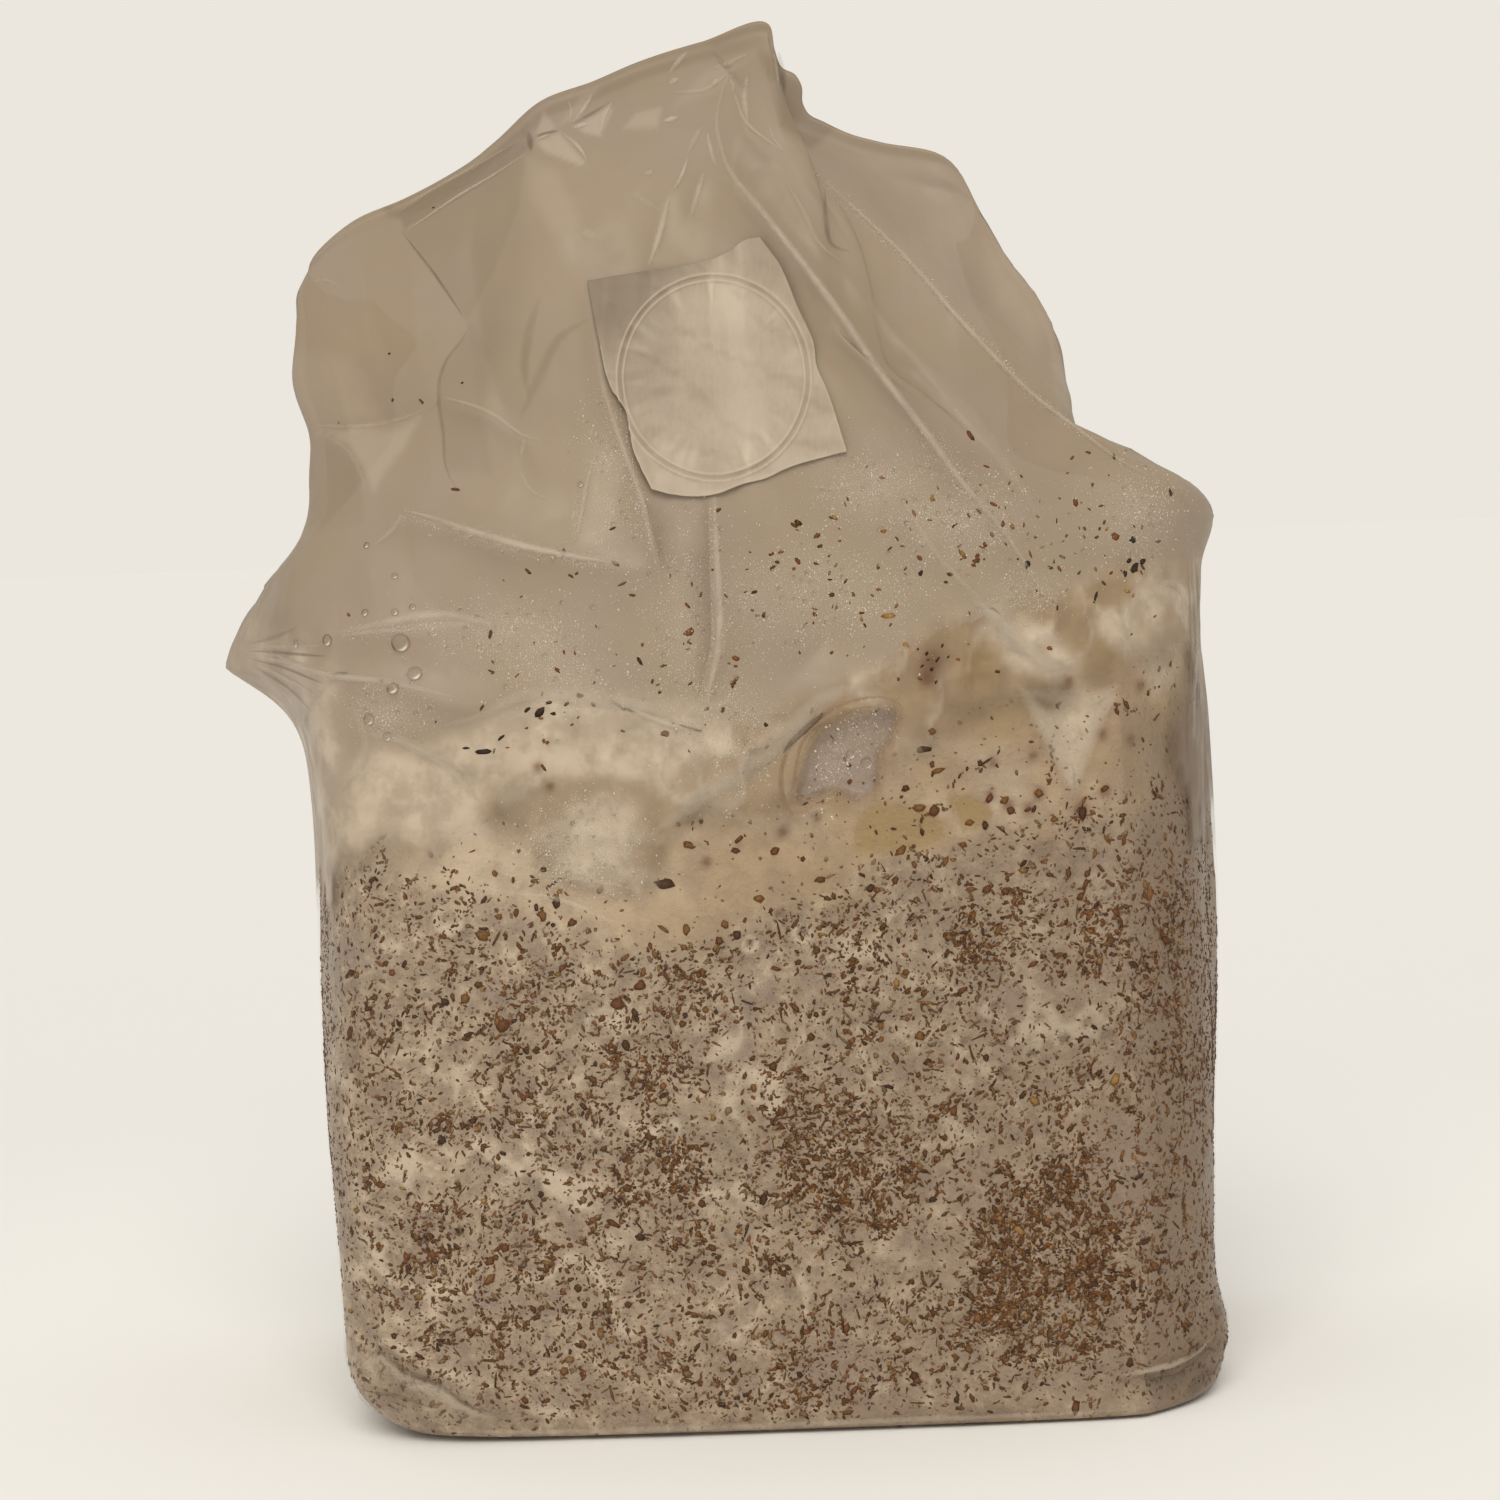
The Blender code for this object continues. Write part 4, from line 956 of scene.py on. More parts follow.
dust = {
    "seed": 41, "clumps": 800, "inClump": 13, "clumpStep": 0.85,
    # how many, their median length and its spread, their width as a share of the length,
    # how far their middles stand off the skin, and half their thickness
    "front": (8600, 1.1, 0.38, (0.28, 0.62), 0.06, 0.11),
    "splinters": (300, 3, 0.25, (0.1, 0.18), 0.12, 0.14),
    "crumbs": (520, 1.6, 0.25, (0.5, 0.9), 0.1, 0.2),
    "under": (11000, 0.95, 0.35, (0.4, 0.9), -0.02, 0.09),
    "around": (12000, 1, 0.4, (0.28, 0.6), 0.08, 0.12),
    "faded": (0.17, 0.115, 0.07),    # what the faint chips' colours are mixed with
    "shades": [(0.155, 0.058, 0.015), (0.105, 0.04, 0.011), (0.205, 0.088, 0.024),
               (0.052, 0.023, 0.01), (0.3, 0.165, 0.048), (0.24, 0.15, 0.08)],
    "chances": [0.31, 0.29, 0.17, 0.1, 0.05, 0.08],
    "crumbShades": [(0.15, 0.055, 0.017), (0.22, 0.1, 0.024), (0.07, 0.03, 0.015)],
    "crumbChances": [0.45, 0.3, 0.25], "crumbCorners": 9,
    # crumbs seen in the photo: x, z, length and width
    "crumbList": [(-23, 128, 4.6, 2.6), (39, 142, 2.8, 2.6), (37, 156.6, 3.6, 2), (39.1, 160.5, 3, 1.6),
        (38.5, 153, 1.8, 1.3), (40.3, 151, 3.2, 1.4), (35.4, 143.5, 3.6, 1.8), (-17, 137.4, 3, 1.8),
        (-5.4, 138, 2.4, 1.2), (2.6, 134.7, 2.6, 2), (-37.3, 127.8, 2.2, 1.6), (-29.2, 105.8, 3.2, 2.6),
        (-34.3, 101.9, 3.6, 2.8), (-31, 99.5, 2.6, 2), (-11.2, 114.4, 2.4, 2), (-9.4, 118.7, 2.2, 1.8),
        (-7, 116, 2.6, 2.2), (-1.3, 124, 2.4, 2), (12.5, 128, 3, 1.6), (-38.1, 108.5, 1.8, 1.4),
        (5.6, 98.6, 3, 1.4), (30.7, 133.3, 3.8, 2.2), (52.6, 114.9, 3.4, 1.6), (33.7, 91.7, 2.8, 2.2),
        (39.4, 92.6, 2.2, 1.8), (23.6, 125.2, 2.6, 1.6), (-4.2, 80.7, 2.4, 1.8), (48.8, 85.3, 2.2, 1.6),
        (-33, 92, 2.8, 2), (-64, 118, 2.8, 1.6), (-44, 120, 2.4, 1.6), (56, 121, 2.2, 1.2),
        (71, 121, 2.6, 1.4), (60, 106, 3.2, 1.2), (-20, 96, 2, 1.6), (2, 108, 2.6, 1.4),
        (11, 112, 2.2, 1.8), (44, 101, 2.4, 1.4), (92, 133, 2.2, 1.4), (76, 128, 2.6, 1),
        (-56, 99, 2.6, 1.4), (-88, 112, 2.4, 1), (95, 172, 1.8, 1.4), (-52, 124, 2, 1.2),
        (20, 150, 1.8, 1.2), (66, 139, 1.8, 1.4), (51.8, 144.9, 2.2, 1.8), (55, 144, 2.4, 1.8),
        (56.1, 142, 2.2, 1.8), (59.8, 142, 1.8, 1), (63, 145.1, 2.2, 2), (61.7, 142.2, 2, 1.2),
        (72.2, 140.7, 3.4, 2), (77.9, 145, 2.2, 1.4), (46.9, 138.7, 2.2, 1.8), (50.3, 138.8, 2.2, 1.6),
        (40.7, 131, 2.4, 1.4), (68.7, 126.8, 2.2, 1.6), (77.7, 134.4, 2.6, 1.2), (54.1, 123.8, 2, 1.8),
        (50.2, 124.7, 2.6, 1.8), (74.9, 131.1, 2.8, 1), (72.4, 124.4, 3, 1.2), (78.1, 124.8, 2.8, 0.9),
        (-60.7, 131.8, 1.6, 1.4), (-49.8, 132.3, 1.8, 1.6), (-52, 129.8, 2.6, 1.1),
        (-63.5, 126.1, 2.4, 0.9), (-47.1, 124.6, 3, 2), (-60.3, 122, 2, 1.6), (-56.5, 122.7, 1.8, 1.6),
        (-50.3, 122.2, 2.8, 2), (-64.4, 117.9, 3.2, 2.2), (-47.7, 114.3, 1.5, 1.4),
        (-69.1, 103.8, 2.2, 2.2), (-73.4, 103.3, 2.2, 1.8), (-60.8, 97.1, 3.6, 2.8),
        (-28.5, 108.6, 3, 1.2), (-23.5, 117.7, 3, 1), (-17.9, 117.7, 2.6, 1.6), (-19.2, 113.7, 1.8, 1.4),
        (-25.3, 112.6, 2.2, 1.2), (-19.4, 97.8, 1.6, 1.5), (-14.5, 99.4, 1.6, 1.5), (-51.4, 92.9, 3, 1),
        (-57.9, 91.6, 2, 1.6), (-37.8, 98.4, 2.2, 1.2), (-36.3, 92.5, 1.6, 1.4)],
}


def dustColours(count, corners, rng):
    # a shade by chance for each chip, a little darker or paler, for all of its points
    shades = np.array(dust["shades"])[rng.choice(len(dust["shades"]), count, p=dust["chances"])]
    shades = shades * rng.uniform(0.75, 1.3, (count, 1))
    return np.repeat(shades, corners + 2, axis=0)


def chips(places, lengths, narrow, turns, lift, thick, rng, corners=5):
    # chips of the given lengths, each with its width, turn and colour
    count = len(lengths)
    points, faces = chipMesh(places, lengths, lengths * rng.uniform(*narrow, count), turns,
                             lift, thick, rng, corners)
    return points, faces, dustColours(count, corners, rng)


def chipsOn(density, count, median, spread, narrow, lift, thick, rng):
    # scattered chips of lognormal length, turned along a slow flow
    places = placesOn(blockGrid, density, count, rng)
    lengths = np.clip(rng.lognormal(math.log(median), spread, count), 0.35 * median, 4 * median)
    flow = 2 * math.pi * cellNoise(places[0], 14, 97)
    return chips(places, lengths, narrow, flow + rng.uniform(-1.1, 1.1, count), lift, thick, rng)


def clumpsOn(density, rng):
    # chains of chips: each chain is a random walk over the surface from its first chip
    count, size = dust["clumps"], dust["inClump"]
    row, column = cellsOn(blockGrid, density, count, rng)
    heading = rng.uniform(0, 2 * math.pi, (count, 1))
    heading = heading + np.cumsum(rng.normal(0, 0.8, (count, size)), axis=1)
    steps = dust["clumpStep"] * rng.uniform(0.7, 1.5, (count, size))
    middle = block["frontCount"] // 2
    tall = np.median(np.linalg.norm(np.diff(blockGrid[30:60, middle], axis=0), axis=-1))
    wide = np.linalg.norm(blockGrid[60, middle + 1] - blockGrid[60, middle])
    rows = row[:, None] + np.cumsum(np.sin(heading) * steps, axis=1) / tall
    columns = column[:, None] + np.cumsum(np.cos(heading) * steps, axis=1) / wide
    kept = rng.random((count, size)) < rng.uniform(0.35, 1, (count, 1))
    kept = kept & (rows > 4) & (rows < len(blockGrid) - 2)
    places = spotsOn(blockGrid, rows[kept], columns[kept])
    lengths = rng.lognormal(math.log(1.15), 0.34, kept.sum())
    turns = heading[kept] + rng.uniform(-0.8, 0.8, kept.sum())
    return chips(places, lengths, (0.32, 0.7), turns, 0.1, 0.13, rng)


def lowHaze(x):
    # the height where the front's film starts to be hazy
    return contactAt(x) - 24


def crumbColours(listed, rng):
    # a shade by chance for each crumb, and the darkest for those over 4 mm long
    shades = np.array(dust["crumbShades"])
    picked = rng.choice(len(shades), len(listed), p=dust["crumbChances"])
    colours = shades[np.where(listed[:, 2] > 4, 2, picked)]
    return np.repeat(colours, dust["crumbCorners"] + 2, axis=0)


def listedChips(listed, places, turns, lift, thick, rng):
    # many-sided chips, each with its listed length and width
    return chipMesh(places, listed[:, 2], listed[:, 3], turns, lift, thick, rng, dust["crumbCorners"])


def listedCrumbs(rng):
    # the crumbs named above, each a chip at its own place with its own size
    listed = np.array(dust["crumbList"])
    listed = listed[listed[:, 1] < lowHaze(listed[:, 0])]
    row, column = nearestOn(blockGrid, listed, block["frontCount"])
    turns = rng.uniform(-1.5, 1.5, len(listed))
    crumbs = listedChips(listed, spotsOn(blockGrid, row, column), turns, 0.1, 0.35, rng)
    return *crumbs, crumbColours(listed, rng)


def joined(parts):
    # meshes made into one: points and marks in a row, faces counted on from part to part
    starts = np.cumsum([0] + [len(part[0]) for part in parts[:-1]])
    return (np.concatenate([part[0] for part in parts]),
            np.concatenate([part[1] + start for part, start in zip(parts, starts)]),
            np.concatenate([part[2] for part in parts]))


def nearestOn(grid, targets, frontCount):
    # the row and column of the front's point nearest to each x and z
    frontPart = grid[:, :frontCount][..., [0, 2]]
    picked = [((frontPart - np.array(target[:2])) ** 2).sum(axis=-1).argmin() for target in targets]
    rows, columns = np.unravel_index(picked, frontPart.shape[:2])
    return rows.astype(float), columns.astype(float)


def makeDust(material):
    # four layers of chips on the skin: scattered ones in front, faint ones under them,
    # chains and crumbs, and those on the sides, the back and the top
    rng = np.random.default_rng(dust["seed"])
    clusters, density, smears = dustField(blockGrid)
    density = density + 0.2 * np.exp(-1.5 * smears)
    density = density * (0.78 + 0.22 * ease(45, 85, blockGrid[..., 2]))
    density = density * (1 - 0.93 * blockCream) * ease(0.5, 5, blockGrid[..., 2])
    normals = normalsOf(blockGrid)
    isFront = ease(0.25, 0.5, -normals[..., 1])
    frontOnly, others = density * isFront, density * (1 - isFront)
    scattered = joined([chipsOn(frontOnly, *dust["front"], rng),
                        chipsOn(frontOnly + 0.04 * isFront, *dust["splinters"], rng),
                        chipsOn(frontOnly + 0.1 * isFront, *dust["crumbs"], rng)])
    points, faces, colours = chipsOn(frontOnly + 0.05 * isFront, *dust["under"], rng)
    faint = (points, faces, 0.4 * colours + np.array(dust["faded"]))
    bunched = joined([clumpsOn(frontOnly * (0.3 + clusters), rng), listedCrumbs(rng)])
    around = chipsOn(others, *dust["around"], rng)
    for name, (points, faces, colours) in (("sawdustInFront", scattered), ("sawdustUnder", faint),
                                           ("sawdustClumps", bunched), ("sawdustAround", around)):
        piece = newPiece(name, points, faces, material, {"dust": colours}, smooth=False)
        finishPiece(piece, "mycelium")


flakeMaterial = makeFlakeMaterial()
makeDust(flakeMaterial)


print("film")


def facetWaves(x, z, seed, count, size):
    # triangle waves in random directions, bent a little by noise and gated in patches,
    # which leave straight creases between nearly flat facets
    rng = np.random.default_rng(seed)
    place = np.stack([x, np.zeros(np.shape(x)), z], axis=-1)
    total = np.zeros(np.shape(x))
    for number in range(count):
        angle = rng.uniform(0, math.pi)
        length = size * rng.uniform(0.6, 1.7)
        bend = 0.35 * length * cellNoise(place, length * 3, seed + 3 * number)
        phase = (x * math.cos(angle) + z * math.sin(angle) + bend) / length + rng.random()
        gate = ease(0, 0.6, cellNoise(place, size * 3, seed + 3 * number + 1))
        total += gate * length * (np.abs(phase % 1 - 0.5) - 0.25)
    return total


drops = {  # x, z and width of each large drop, and x, z and half sizes of each dewy field
    "large": [(-80, 185, 4.4), (-77, 178, 3.6), (-82, 175, 3), (-81, 192, 1.8), (-81, 200, 1.6),
        (-88, 192, 1.8), (-97, 186, 2.8), (-105, 185, 2), (-88, 168, 2.8), (-84, 164, 2.2),
        (-77, 193, 1.6), (-87.5, 207, 1.6), (20.5, 156, 2.2), (24, 154, 2.8), (17, 159, 1.2),
        (26.5, 161, 1.1), (22, 162.5, 1.2), (-38, 219, 1.5)],
    "fields": [(-57, 187, 14, 6), (-45, 178, 10, 8), (-15, 186, 8, 18), (14, 192, 20, 10),
        (-43, 138, 9, 7), (30, 216, 12, 7), (48, 208, 12, 8), (88, 207, 9, 10), (-4, 162, 7, 12),
        (-32, 220, 5, 14), (62, 190, 8, 5), (-84, 170, 8, 5), (-39, 138, 10, 8)],
    "lines": [
        ([(19.2, 287.2), (38.9, 266.6), (66.6, 234.1), (78.9, 224)], 1, 1.2),
        ([(-38.5, 216.4), (-39.9, 206.2)], 0.9, 2),
        ([(-7.7, 212), (-8, 183), (-12, 166)], 1.2, 1.6),
        ([(-31.5, 238), (-22.5, 206)], 1.6, 1.6),
        ([(40, 228), (58, 204)], 2, 0.8),
        ([(-78, 214), (-63, 209), (-38.5, 202), (-27, 200)], 1.6, 0.8),
        ([(-93, 187), (-76, 190), (-56, 185)], 1.4, 0.9),
        ([(11, 147), (17, 154), (22, 160), (28, 164)], 5, 0.4)],
    "seed": 90, "looseSeed": 55, "coarse": 240, "loose": 260,
    "fineStep": 0.44, "fineMost": 44000, "dewRange": (-116, 104, 118, 292),    # left, right, low, high
    "looseFields": [(10, 190, 42, 14), (60, 205, 34, 14), (-40, 172, 30, 12), (85, 200, 20, 16),
        (20, 205, 20, 10)],
    "speckColour": (0.03, 0.02, 0.014),
    # specks on the film: x, z, length and width
    "specks": [(87, 194.5, 3.4, 1.8), (84.6, 193.6, 2.2, 1.4), (89, 196, 2, 1.2), (85.8, 196.4, 1.5, 1),
        (77.5, 189, 2.8, 0.9), (86.8, 201, 1.9, 1.7), (62, 197, 2, 1.6), (38, 196, 1.8, 1.3),
        (-49, 168.5, 3, 1.6), (-52, 169, 2.2, 0.8), (-47, 170.5, 1.6, 0.8), (-43, 170, 2, 0.8),
        (-58, 163, 2.4, 0.7), (-62, 160, 4.2, 1.3), (-66, 161, 1.6, 0.6), (-46, 168, 1.4, 0.9),
        (38.6, 178, 1.3, 0.7), (41, 176.5, 1.6, 0.6), (39.6, 174.4, 1.2, 0.7), (42.2, 179.6, 1, 0.5),
        (37.4, 175.2, 1, 0.5), (43.4, 177, 0.9, 0.5), (40.4, 171.6, 1.1, 0.6), (36.6, 179, 0.8, 0.5),
        (-81.9, 250.3, 0.7, 0.6), (-64.8, 242.9, 0.7, 0.5), (-71.5, 284.2, 0.8, 0.7)],
}


def fieldWeight(x, z, fields):
    # a sum of oval bell curves
    total = np.zeros(np.shape(x))
    for atX, atZ, wide, high in fields:
        total = total + np.exp(-(((x - atX) / wide) ** 2) - (((z - atZ) / high) ** 2))
    return total


film = {
    "baseLevels": 40, "lowLevels": 14, "highLevels": 148,
    "baseLow": 0.053, "baseTop": 0.11, "lowTop": 0.38,
    # the front's maps: left end, width and height, and their cells' sizes
    "mapLeft": -140, "mapSize": (280, 340), "cell": 0.5, "wideCell": 1.5,
    "hazeHeight": (-10, 3), "veilHeight": (0, 8), "wrinkle": 1.3,
    "bridge": [
        ([(-66, 152), (-45, 172), (-10, 168), (12, 171), (8, 164), (-2, 155.7), (-10, 149), (-18.5, 144),
          (-21.7, 138), (-27, 126), (-37, 128), (-46, 132), (-52, 140)], 3, 0.85)],
    "baseFolds": [
        ([(-103, 21), (-92, 20), (-79, 12), (-66, 6)], 2.4, 0.9),
        ([(-103, 9), (-90, 8), (-70, 4.5)], 2, 0.5),
        ([(76, 12), (88, 12.6), (96, 14.5), (103, 17)], 1.8, 0.9)],
    # paler areas: mostly painted highlights on lit facets, some pale mist
    "paleAndHighlightAreas": [
        ([(-98.7, 232.9), (-79.7, 233), (-75, 235.5), (-78.5, 229), (-83, 223.7), (-86, 219),
          (-88.6, 225), (-92, 229.5)], 1.2, 0.34),
        ([(-37.4, 301.5), (-33.2, 303.6), (-29, 306.5), (-28.3, 305.3), (-31, 298.6),
          (-34.6, 299.5)], 0.6, 0.55),
        ([(-46.5, 298.5), (-40.8, 300.2), (-34.4, 292.1), (-37.4, 292.6), (-44.3, 295.8)], 0.6, 0.5),
        ([(-46.5, 301), (-45, 306.3), (-41.6, 301.4), (-44.4, 299.8)], 0.6, 0.4),
        ([(-25.6, 300.4), (-22.8, 303.8), (-16.5, 305.2), (-17.7, 299.9)], 0.8, 0.35),
        ([(-41, 302), (-36, 309.5), (-32, 311), (-36, 304)], 1, 0.25),
        ([(-14, 305), (-4, 308), (4, 316), (-6, 314)], 1.5, 0.18),
        ([(-93, 187), (-76, 191.5), (-60, 189), (-75, 187)], 1, 0.35),
        ([(-49, 295), (-47, 284), (-38, 270), (-36, 278), (-42, 292)], 2, 0.16),
        ([(-110, 252), (-112, 240), (-100, 234), (-84, 235), (-92, 250)], 3, 0.16),
        ([(-38, 206), (-34, 226), (-27, 226), (-32, 206)], 1.5, 0.2),
        ([(-50, 143), (-36, 146), (-27, 147), (-28, 136), (-35, 131), (-43, 134)], 3, 0.3),
        ([(40, 272), (58, 286), (66, 264), (86, 236), (84, 226), (66, 236), (50, 254)], 5, 0.16),
        ([(58, 270), (66, 262), (74, 250), (68, 246), (60, 256)], 4, 0.2)],
    # darker areas: partly painted shade in folds, partly the tone of overlapping layers
    "shadeAndLayerAreas": [
        ([(-78.5, 278.5), (-63, 288), (-48.6, 295.5), (-50.5, 283), (-57, 268), (-63.5, 257),
          (-71.3, 268.9)], 0.7, 0.36),
        ([(-50.5, 283), (-57, 268), (-63, 257), (-66, 245), (-58, 240), (-50, 262)], 4, 0.3),
        ([(-78.2, 279.2), (-80, 283.2), (-71.7, 289), (-60.8, 294), (-50, 299.2), (-48.5, 295.9),
          (-62.9, 288.1)], 0.5, 0.75),
        ([(-50.2, 302.1), (-47.2, 299.6), (-47.7, 295.3), (-49.5, 297.5)], 0.7, 0.6),
        ([(-62.4, 256.6), (-64.6, 252.7), (-68.2, 248.3), (-70, 243.8), (-70.3, 239.2), (-69.5, 232.3),
          (-68.6, 223.1), (-58, 222), (-60, 234), (-58, 250)], 1.2, 0.3),
        ([(10.3, 317), (11.5, 313), (16.3, 310), (17.5, 303), (24, 299), (18, 294), (11, 299)], 1, 0.7),
        ([(2, 280), (12, 284), (46, 232), (60, 212), (48, 214), (30, 240)], 2, 0.28),
        ([(-23, 204), (-9, 204), (-10, 166), (-22, 170)], 2.5, 0.28),
        ([(-2, 290), (3, 298), (9, 292), (4, 283)], 1.5, 0.3),
        ([(-107, 232), (-98, 231.5), (-90, 224), (-88, 212), (-106, 210)], 1.5, 0.22),
        ([(-6, 222), (36, 226), (84, 220), (102, 200), (84, 190), (40, 196), (8, 176),
          (-6, 182)], 9, 0.16),
        ([(-120, 178), (-119, 187), (-108, 192), (-97, 187), (-97, 178), (-108, 172)], 3, 0.3),
        ([(80, 186), (84, 204), (92, 214), (106, 210), (110, 196), (100, 186)], 5, 0.24),
        ([(46, 246), (58, 250), (72, 236), (66, 224), (54, 228)], 4, 0.14)],
    "blots": [(40, 177, 2.6), (39, 173, 1.4), (42, 180, 1.8)],
}


def filmLevels():
    # close rows for the base's folds, wide ones along the block and close ones above
    first = np.linspace(film["baseLow"], film["baseTop"], film["baseLevels"])
    middle = np.linspace(film["baseTop"], film["lowTop"], film["lowLevels"] + 1)[1:]
    last = np.linspace(film["lowTop"], 1, film["highLevels"] + 1)[1:]
    return np.concatenate([first, middle, last])


def crumplesOn(flat, normals, levels):
    # large and small facets on the free film, other ones on its back than on its front
    x, z = flat[..., 0], flat[..., 2]
    free = ease(0.52, 0.6, levels) * (1 - ease(0.93, 0.99, levels))
    flip = np.where(normals[..., 1] > 0, 400, 0)
    crumple = facetWaves(x + flip, z, 7, 9, 16) * 0.04 + facetWaves(x + flip, z, 19, 8, 6) * 0.02
    return crumple * free


def sideStrip(flat, grid, rough):
    # where the skin touches the film round the sides: an uneven band, higher at the left
    x, y, z = np.moveaxis(flat, -1, 0)
    deep = y + 22 * layeredNoise(grid, 22, 55, 3)
    strip = ease(92, 98, np.abs(x)) * (1 - ease(-30, 25, deep))
    low = z - 14 * rough - 6 * (x > 0) + 16 * ease(98, 101, np.abs(x))
    high = z - 8 * rough + 22 * (x > 0)
    return strip * ease(126, 138, low) * (1 - ease(174, 188, high))


def veilOn(flat, grid, normals, strip, rough):
    # how much of the skin behind shows: all of it up to the contact, and the side bands
    x, y, z = np.moveaxis(flat, -1, 0)
    top = np.where(normals[..., 1] < -0.2, contactAt(x), blockTop(x, y) - 6)
    above = z - top + 3 * cellNoise(grid, 9, 51)
    veil = (1 - ease(*film["veilHeight"], above)) * (0.8 + 0.3 * rough)
    return np.maximum(veil, strip * (0.55 + 0.6 * rough))


def hazeOn(flat, grid, normals, strip, baseFolds):
    # hazy above the block's front and shoulder, in the bridged film and in folds, and
    # clear in the window
    x, y, z = np.moveaxis(flat, -1, 0)
    front = ease(0.1, 0.6, -normals[..., 1])
    corner = ease(90, 104, -x) + ease(98, 104, x)
    start = np.where(normals[..., 1] < -0.2, contactAt(x) - 14 - 8 * corner, blockRim(x, y) - 4)
    haze = ease(*film["hazeHeight"], z - start + 3 * cellNoise(grid, 7, 50))
    haze = np.maximum(haze, 0.92 * strip)
    inWindow = areaSum(x, z, [(block["window"], 1.5, 1)]) * front
    haze = np.maximum(haze * (1 - 0.85 * inWindow), areaSum(x, z, film["bridge"]) * front)
    return np.clip(haze + 0.5 * baseFolds, 0, 1)


def toneOn(x, z, facing):
    # dark along the weld with a pale line in it, and darker in the listed areas, partly painted shade in
    # folds and partly overlapping layers, and at the blots
    hemLine = [(-80, 286.3)] + [point for point in bag["hem"] if point[0] > -79]
    hemFar = lineField(x, z, hemLine)[0]
    tone = 0.55 * (1 - ease(3.6, 5.2, hemFar)) - 0.3 * np.exp(-(((hemFar - 1.2) / 0.7) ** 2))
    tone = tone * (1 - 0.8 * ease(8, 14, x))
    return tone + (areaSum(x, z, film["shadeAndLayerAreas"]) + spots(x, z, film["blots"])) * facing


def skinOnFilm(x, z, facing, noise, ridges, rough, strip):
    # the skin's colours: white lumps, yellow pools, painted shade to the right and in the sunken patches,
    # and stains
    whites = np.clip(areaSum(x, z, block["whites"]), 0, 1) * facing
    lump = 0.7 - ease(-50, 40, x) + 0.5 * noise + 0.6 * strip * (x < 0)
    pool = areaSum(x, z, block["pools"]) * facing
    # painted shade: darker in the sunken patches, towards the right, low on the right and on the right
    # strip, in noisy patches left of x 20, and less under white lumps
    shade = 0.75 * areaSum(x, z, block["shadedHollows"]) * facing + 0.22 * ease(-20, 80, x)
    paintedShadeLowRight = 0.3 * ease(76, 92, x) * (1 - ease(172, 184, z))
    shade = shade + 0.3 * strip * (x > 0) + paintedShadeLowRight
    shade = (shade + 0.25 * (1 - rough) * (x < 20)) * (1 - 0.85 * whites)
    return {"lump": lump + whites + 0.8 * ridges - 0.15, "pool": 0.8 * pool, "shade": shade,
            "stain": 0.85 * spots(x, z, block["stains"]) * facing}


def makeFilm(material):
    # the bag's surface, pushed along its normals by crumples, folds and the ridges of
    # the skin behind it, with the values that its material mixes
    across, deep = ringOfCorners(bag["frontCount"], bag["sideCount"], bag["backCount"])
    levels = filmRows(across, filmLevels())
    flat = bagSurface(across, deep, levels)
    normals = normalsOf(flat)
    x, z = flat[..., 0], flat[..., 2]
    facing = ease(0, 0.3, -normals[..., 1])
    baseFolds = lineGlow(x, z, film["baseFolds"]) * facing
    grid = flat + normals * (crumplesOn(flat, normals, levels) + 0.8 * baseFolds)[..., None]
    rough = 0.5 + 0.5 * layeredNoise(grid, 7, 52, 3)
    ridges = (1 - np.abs(layeredNoise(grid, 9, 54, 3))) ** 4
    strip = sideStrip(flat, grid, rough)
    veil = veilOn(flat, grid, normals, strip, rough)
    haze = hazeOn(flat, grid, normals, strip, baseFolds)
    # crease: paler along the base's folds and in the areas of painted highlight
    crease = np.clip(0.6 * baseFolds + areaSum(x, z, film["paleAndHighlightAreas"]) * facing, 0, 0.8)
    mist = np.clip(fieldWeight(x, z, drops["fields"]), 0, 1) * 0.45 * facing
    marks = {"haze": haze, "tone": toneOn(x, z, facing), "mist": mist, "crease": crease, "veil": veil}
    marks.update(skinOnFilm(x, z, facing, cellNoise(grid, 12, 53), ridges, rough, strip))
    marks = {name: np.clip(values, 0, 0.95) for name, values in marks.items()}
    seen = ease(0.6, 0.95, -normals[..., 1])
    grid = grid + normals * (film["wrinkle"] * np.clip(veil, 0, 1) * ridges * seen)[..., None]
    rows, columns = grid.shape[:2]
    power = bag["sections"][-1][2]
    places = across * (np.abs(across) ** power + np.abs(deep) ** power) ** (-1 / power)
    lids = (np.arange(columns)[::-1], zipFaces((rows - 1) * columns, places))
    piece = newPiece("filmBag", grid, tubeFaces(rows, columns), material, marks, lids=lids)
    finishPiece(piece, "film", "film_bag")
    return grid, haze


filmGrid, filmHaze = makeFilm(makeFilmMaterial())


def seenPoints():
    # places and facings all over the front and the near half of each side, without
    # those that face away in a tuck
    half = bag["sideCount"] // 2
    rows = np.arange(0, len(filmGrid) - 1, 0.5)
    columns = np.arange(-half, bag["frontCount"] + half, 0.25)
    rows, columns = (part.ravel() for part in np.meshgrid(rows, columns))
    points, facings = spotsOn(filmGrid, rows, columns)[:2]
    forward = facings[:, 1] < 0.05
    return points[forward], facings[forward]


frontPoints, frontNormals = seenPoints()


def foremostPoints():
    # the number of the foremost of the film's points in each square cell of the front
    order = np.argsort(-frontPoints[:, 1])
    cells = ((frontPoints[order][:, [0, 2]] - np.array([film["mapLeft"], 0])) / film["cell"]).astype(int)
    table = np.full([int(side / film["cell"]) for side in film["mapSize"]], -1)
    table[cells[:, 0], cells[:, 1]] = order
    for turn in range(6):
        for step in ((0, 1), (1, 0), (0, -1), (-1, 0)):
            table = np.where(table < 0, np.roll(table, step, (0, 1)), table)
    return table


pointTable = foremostPoints()


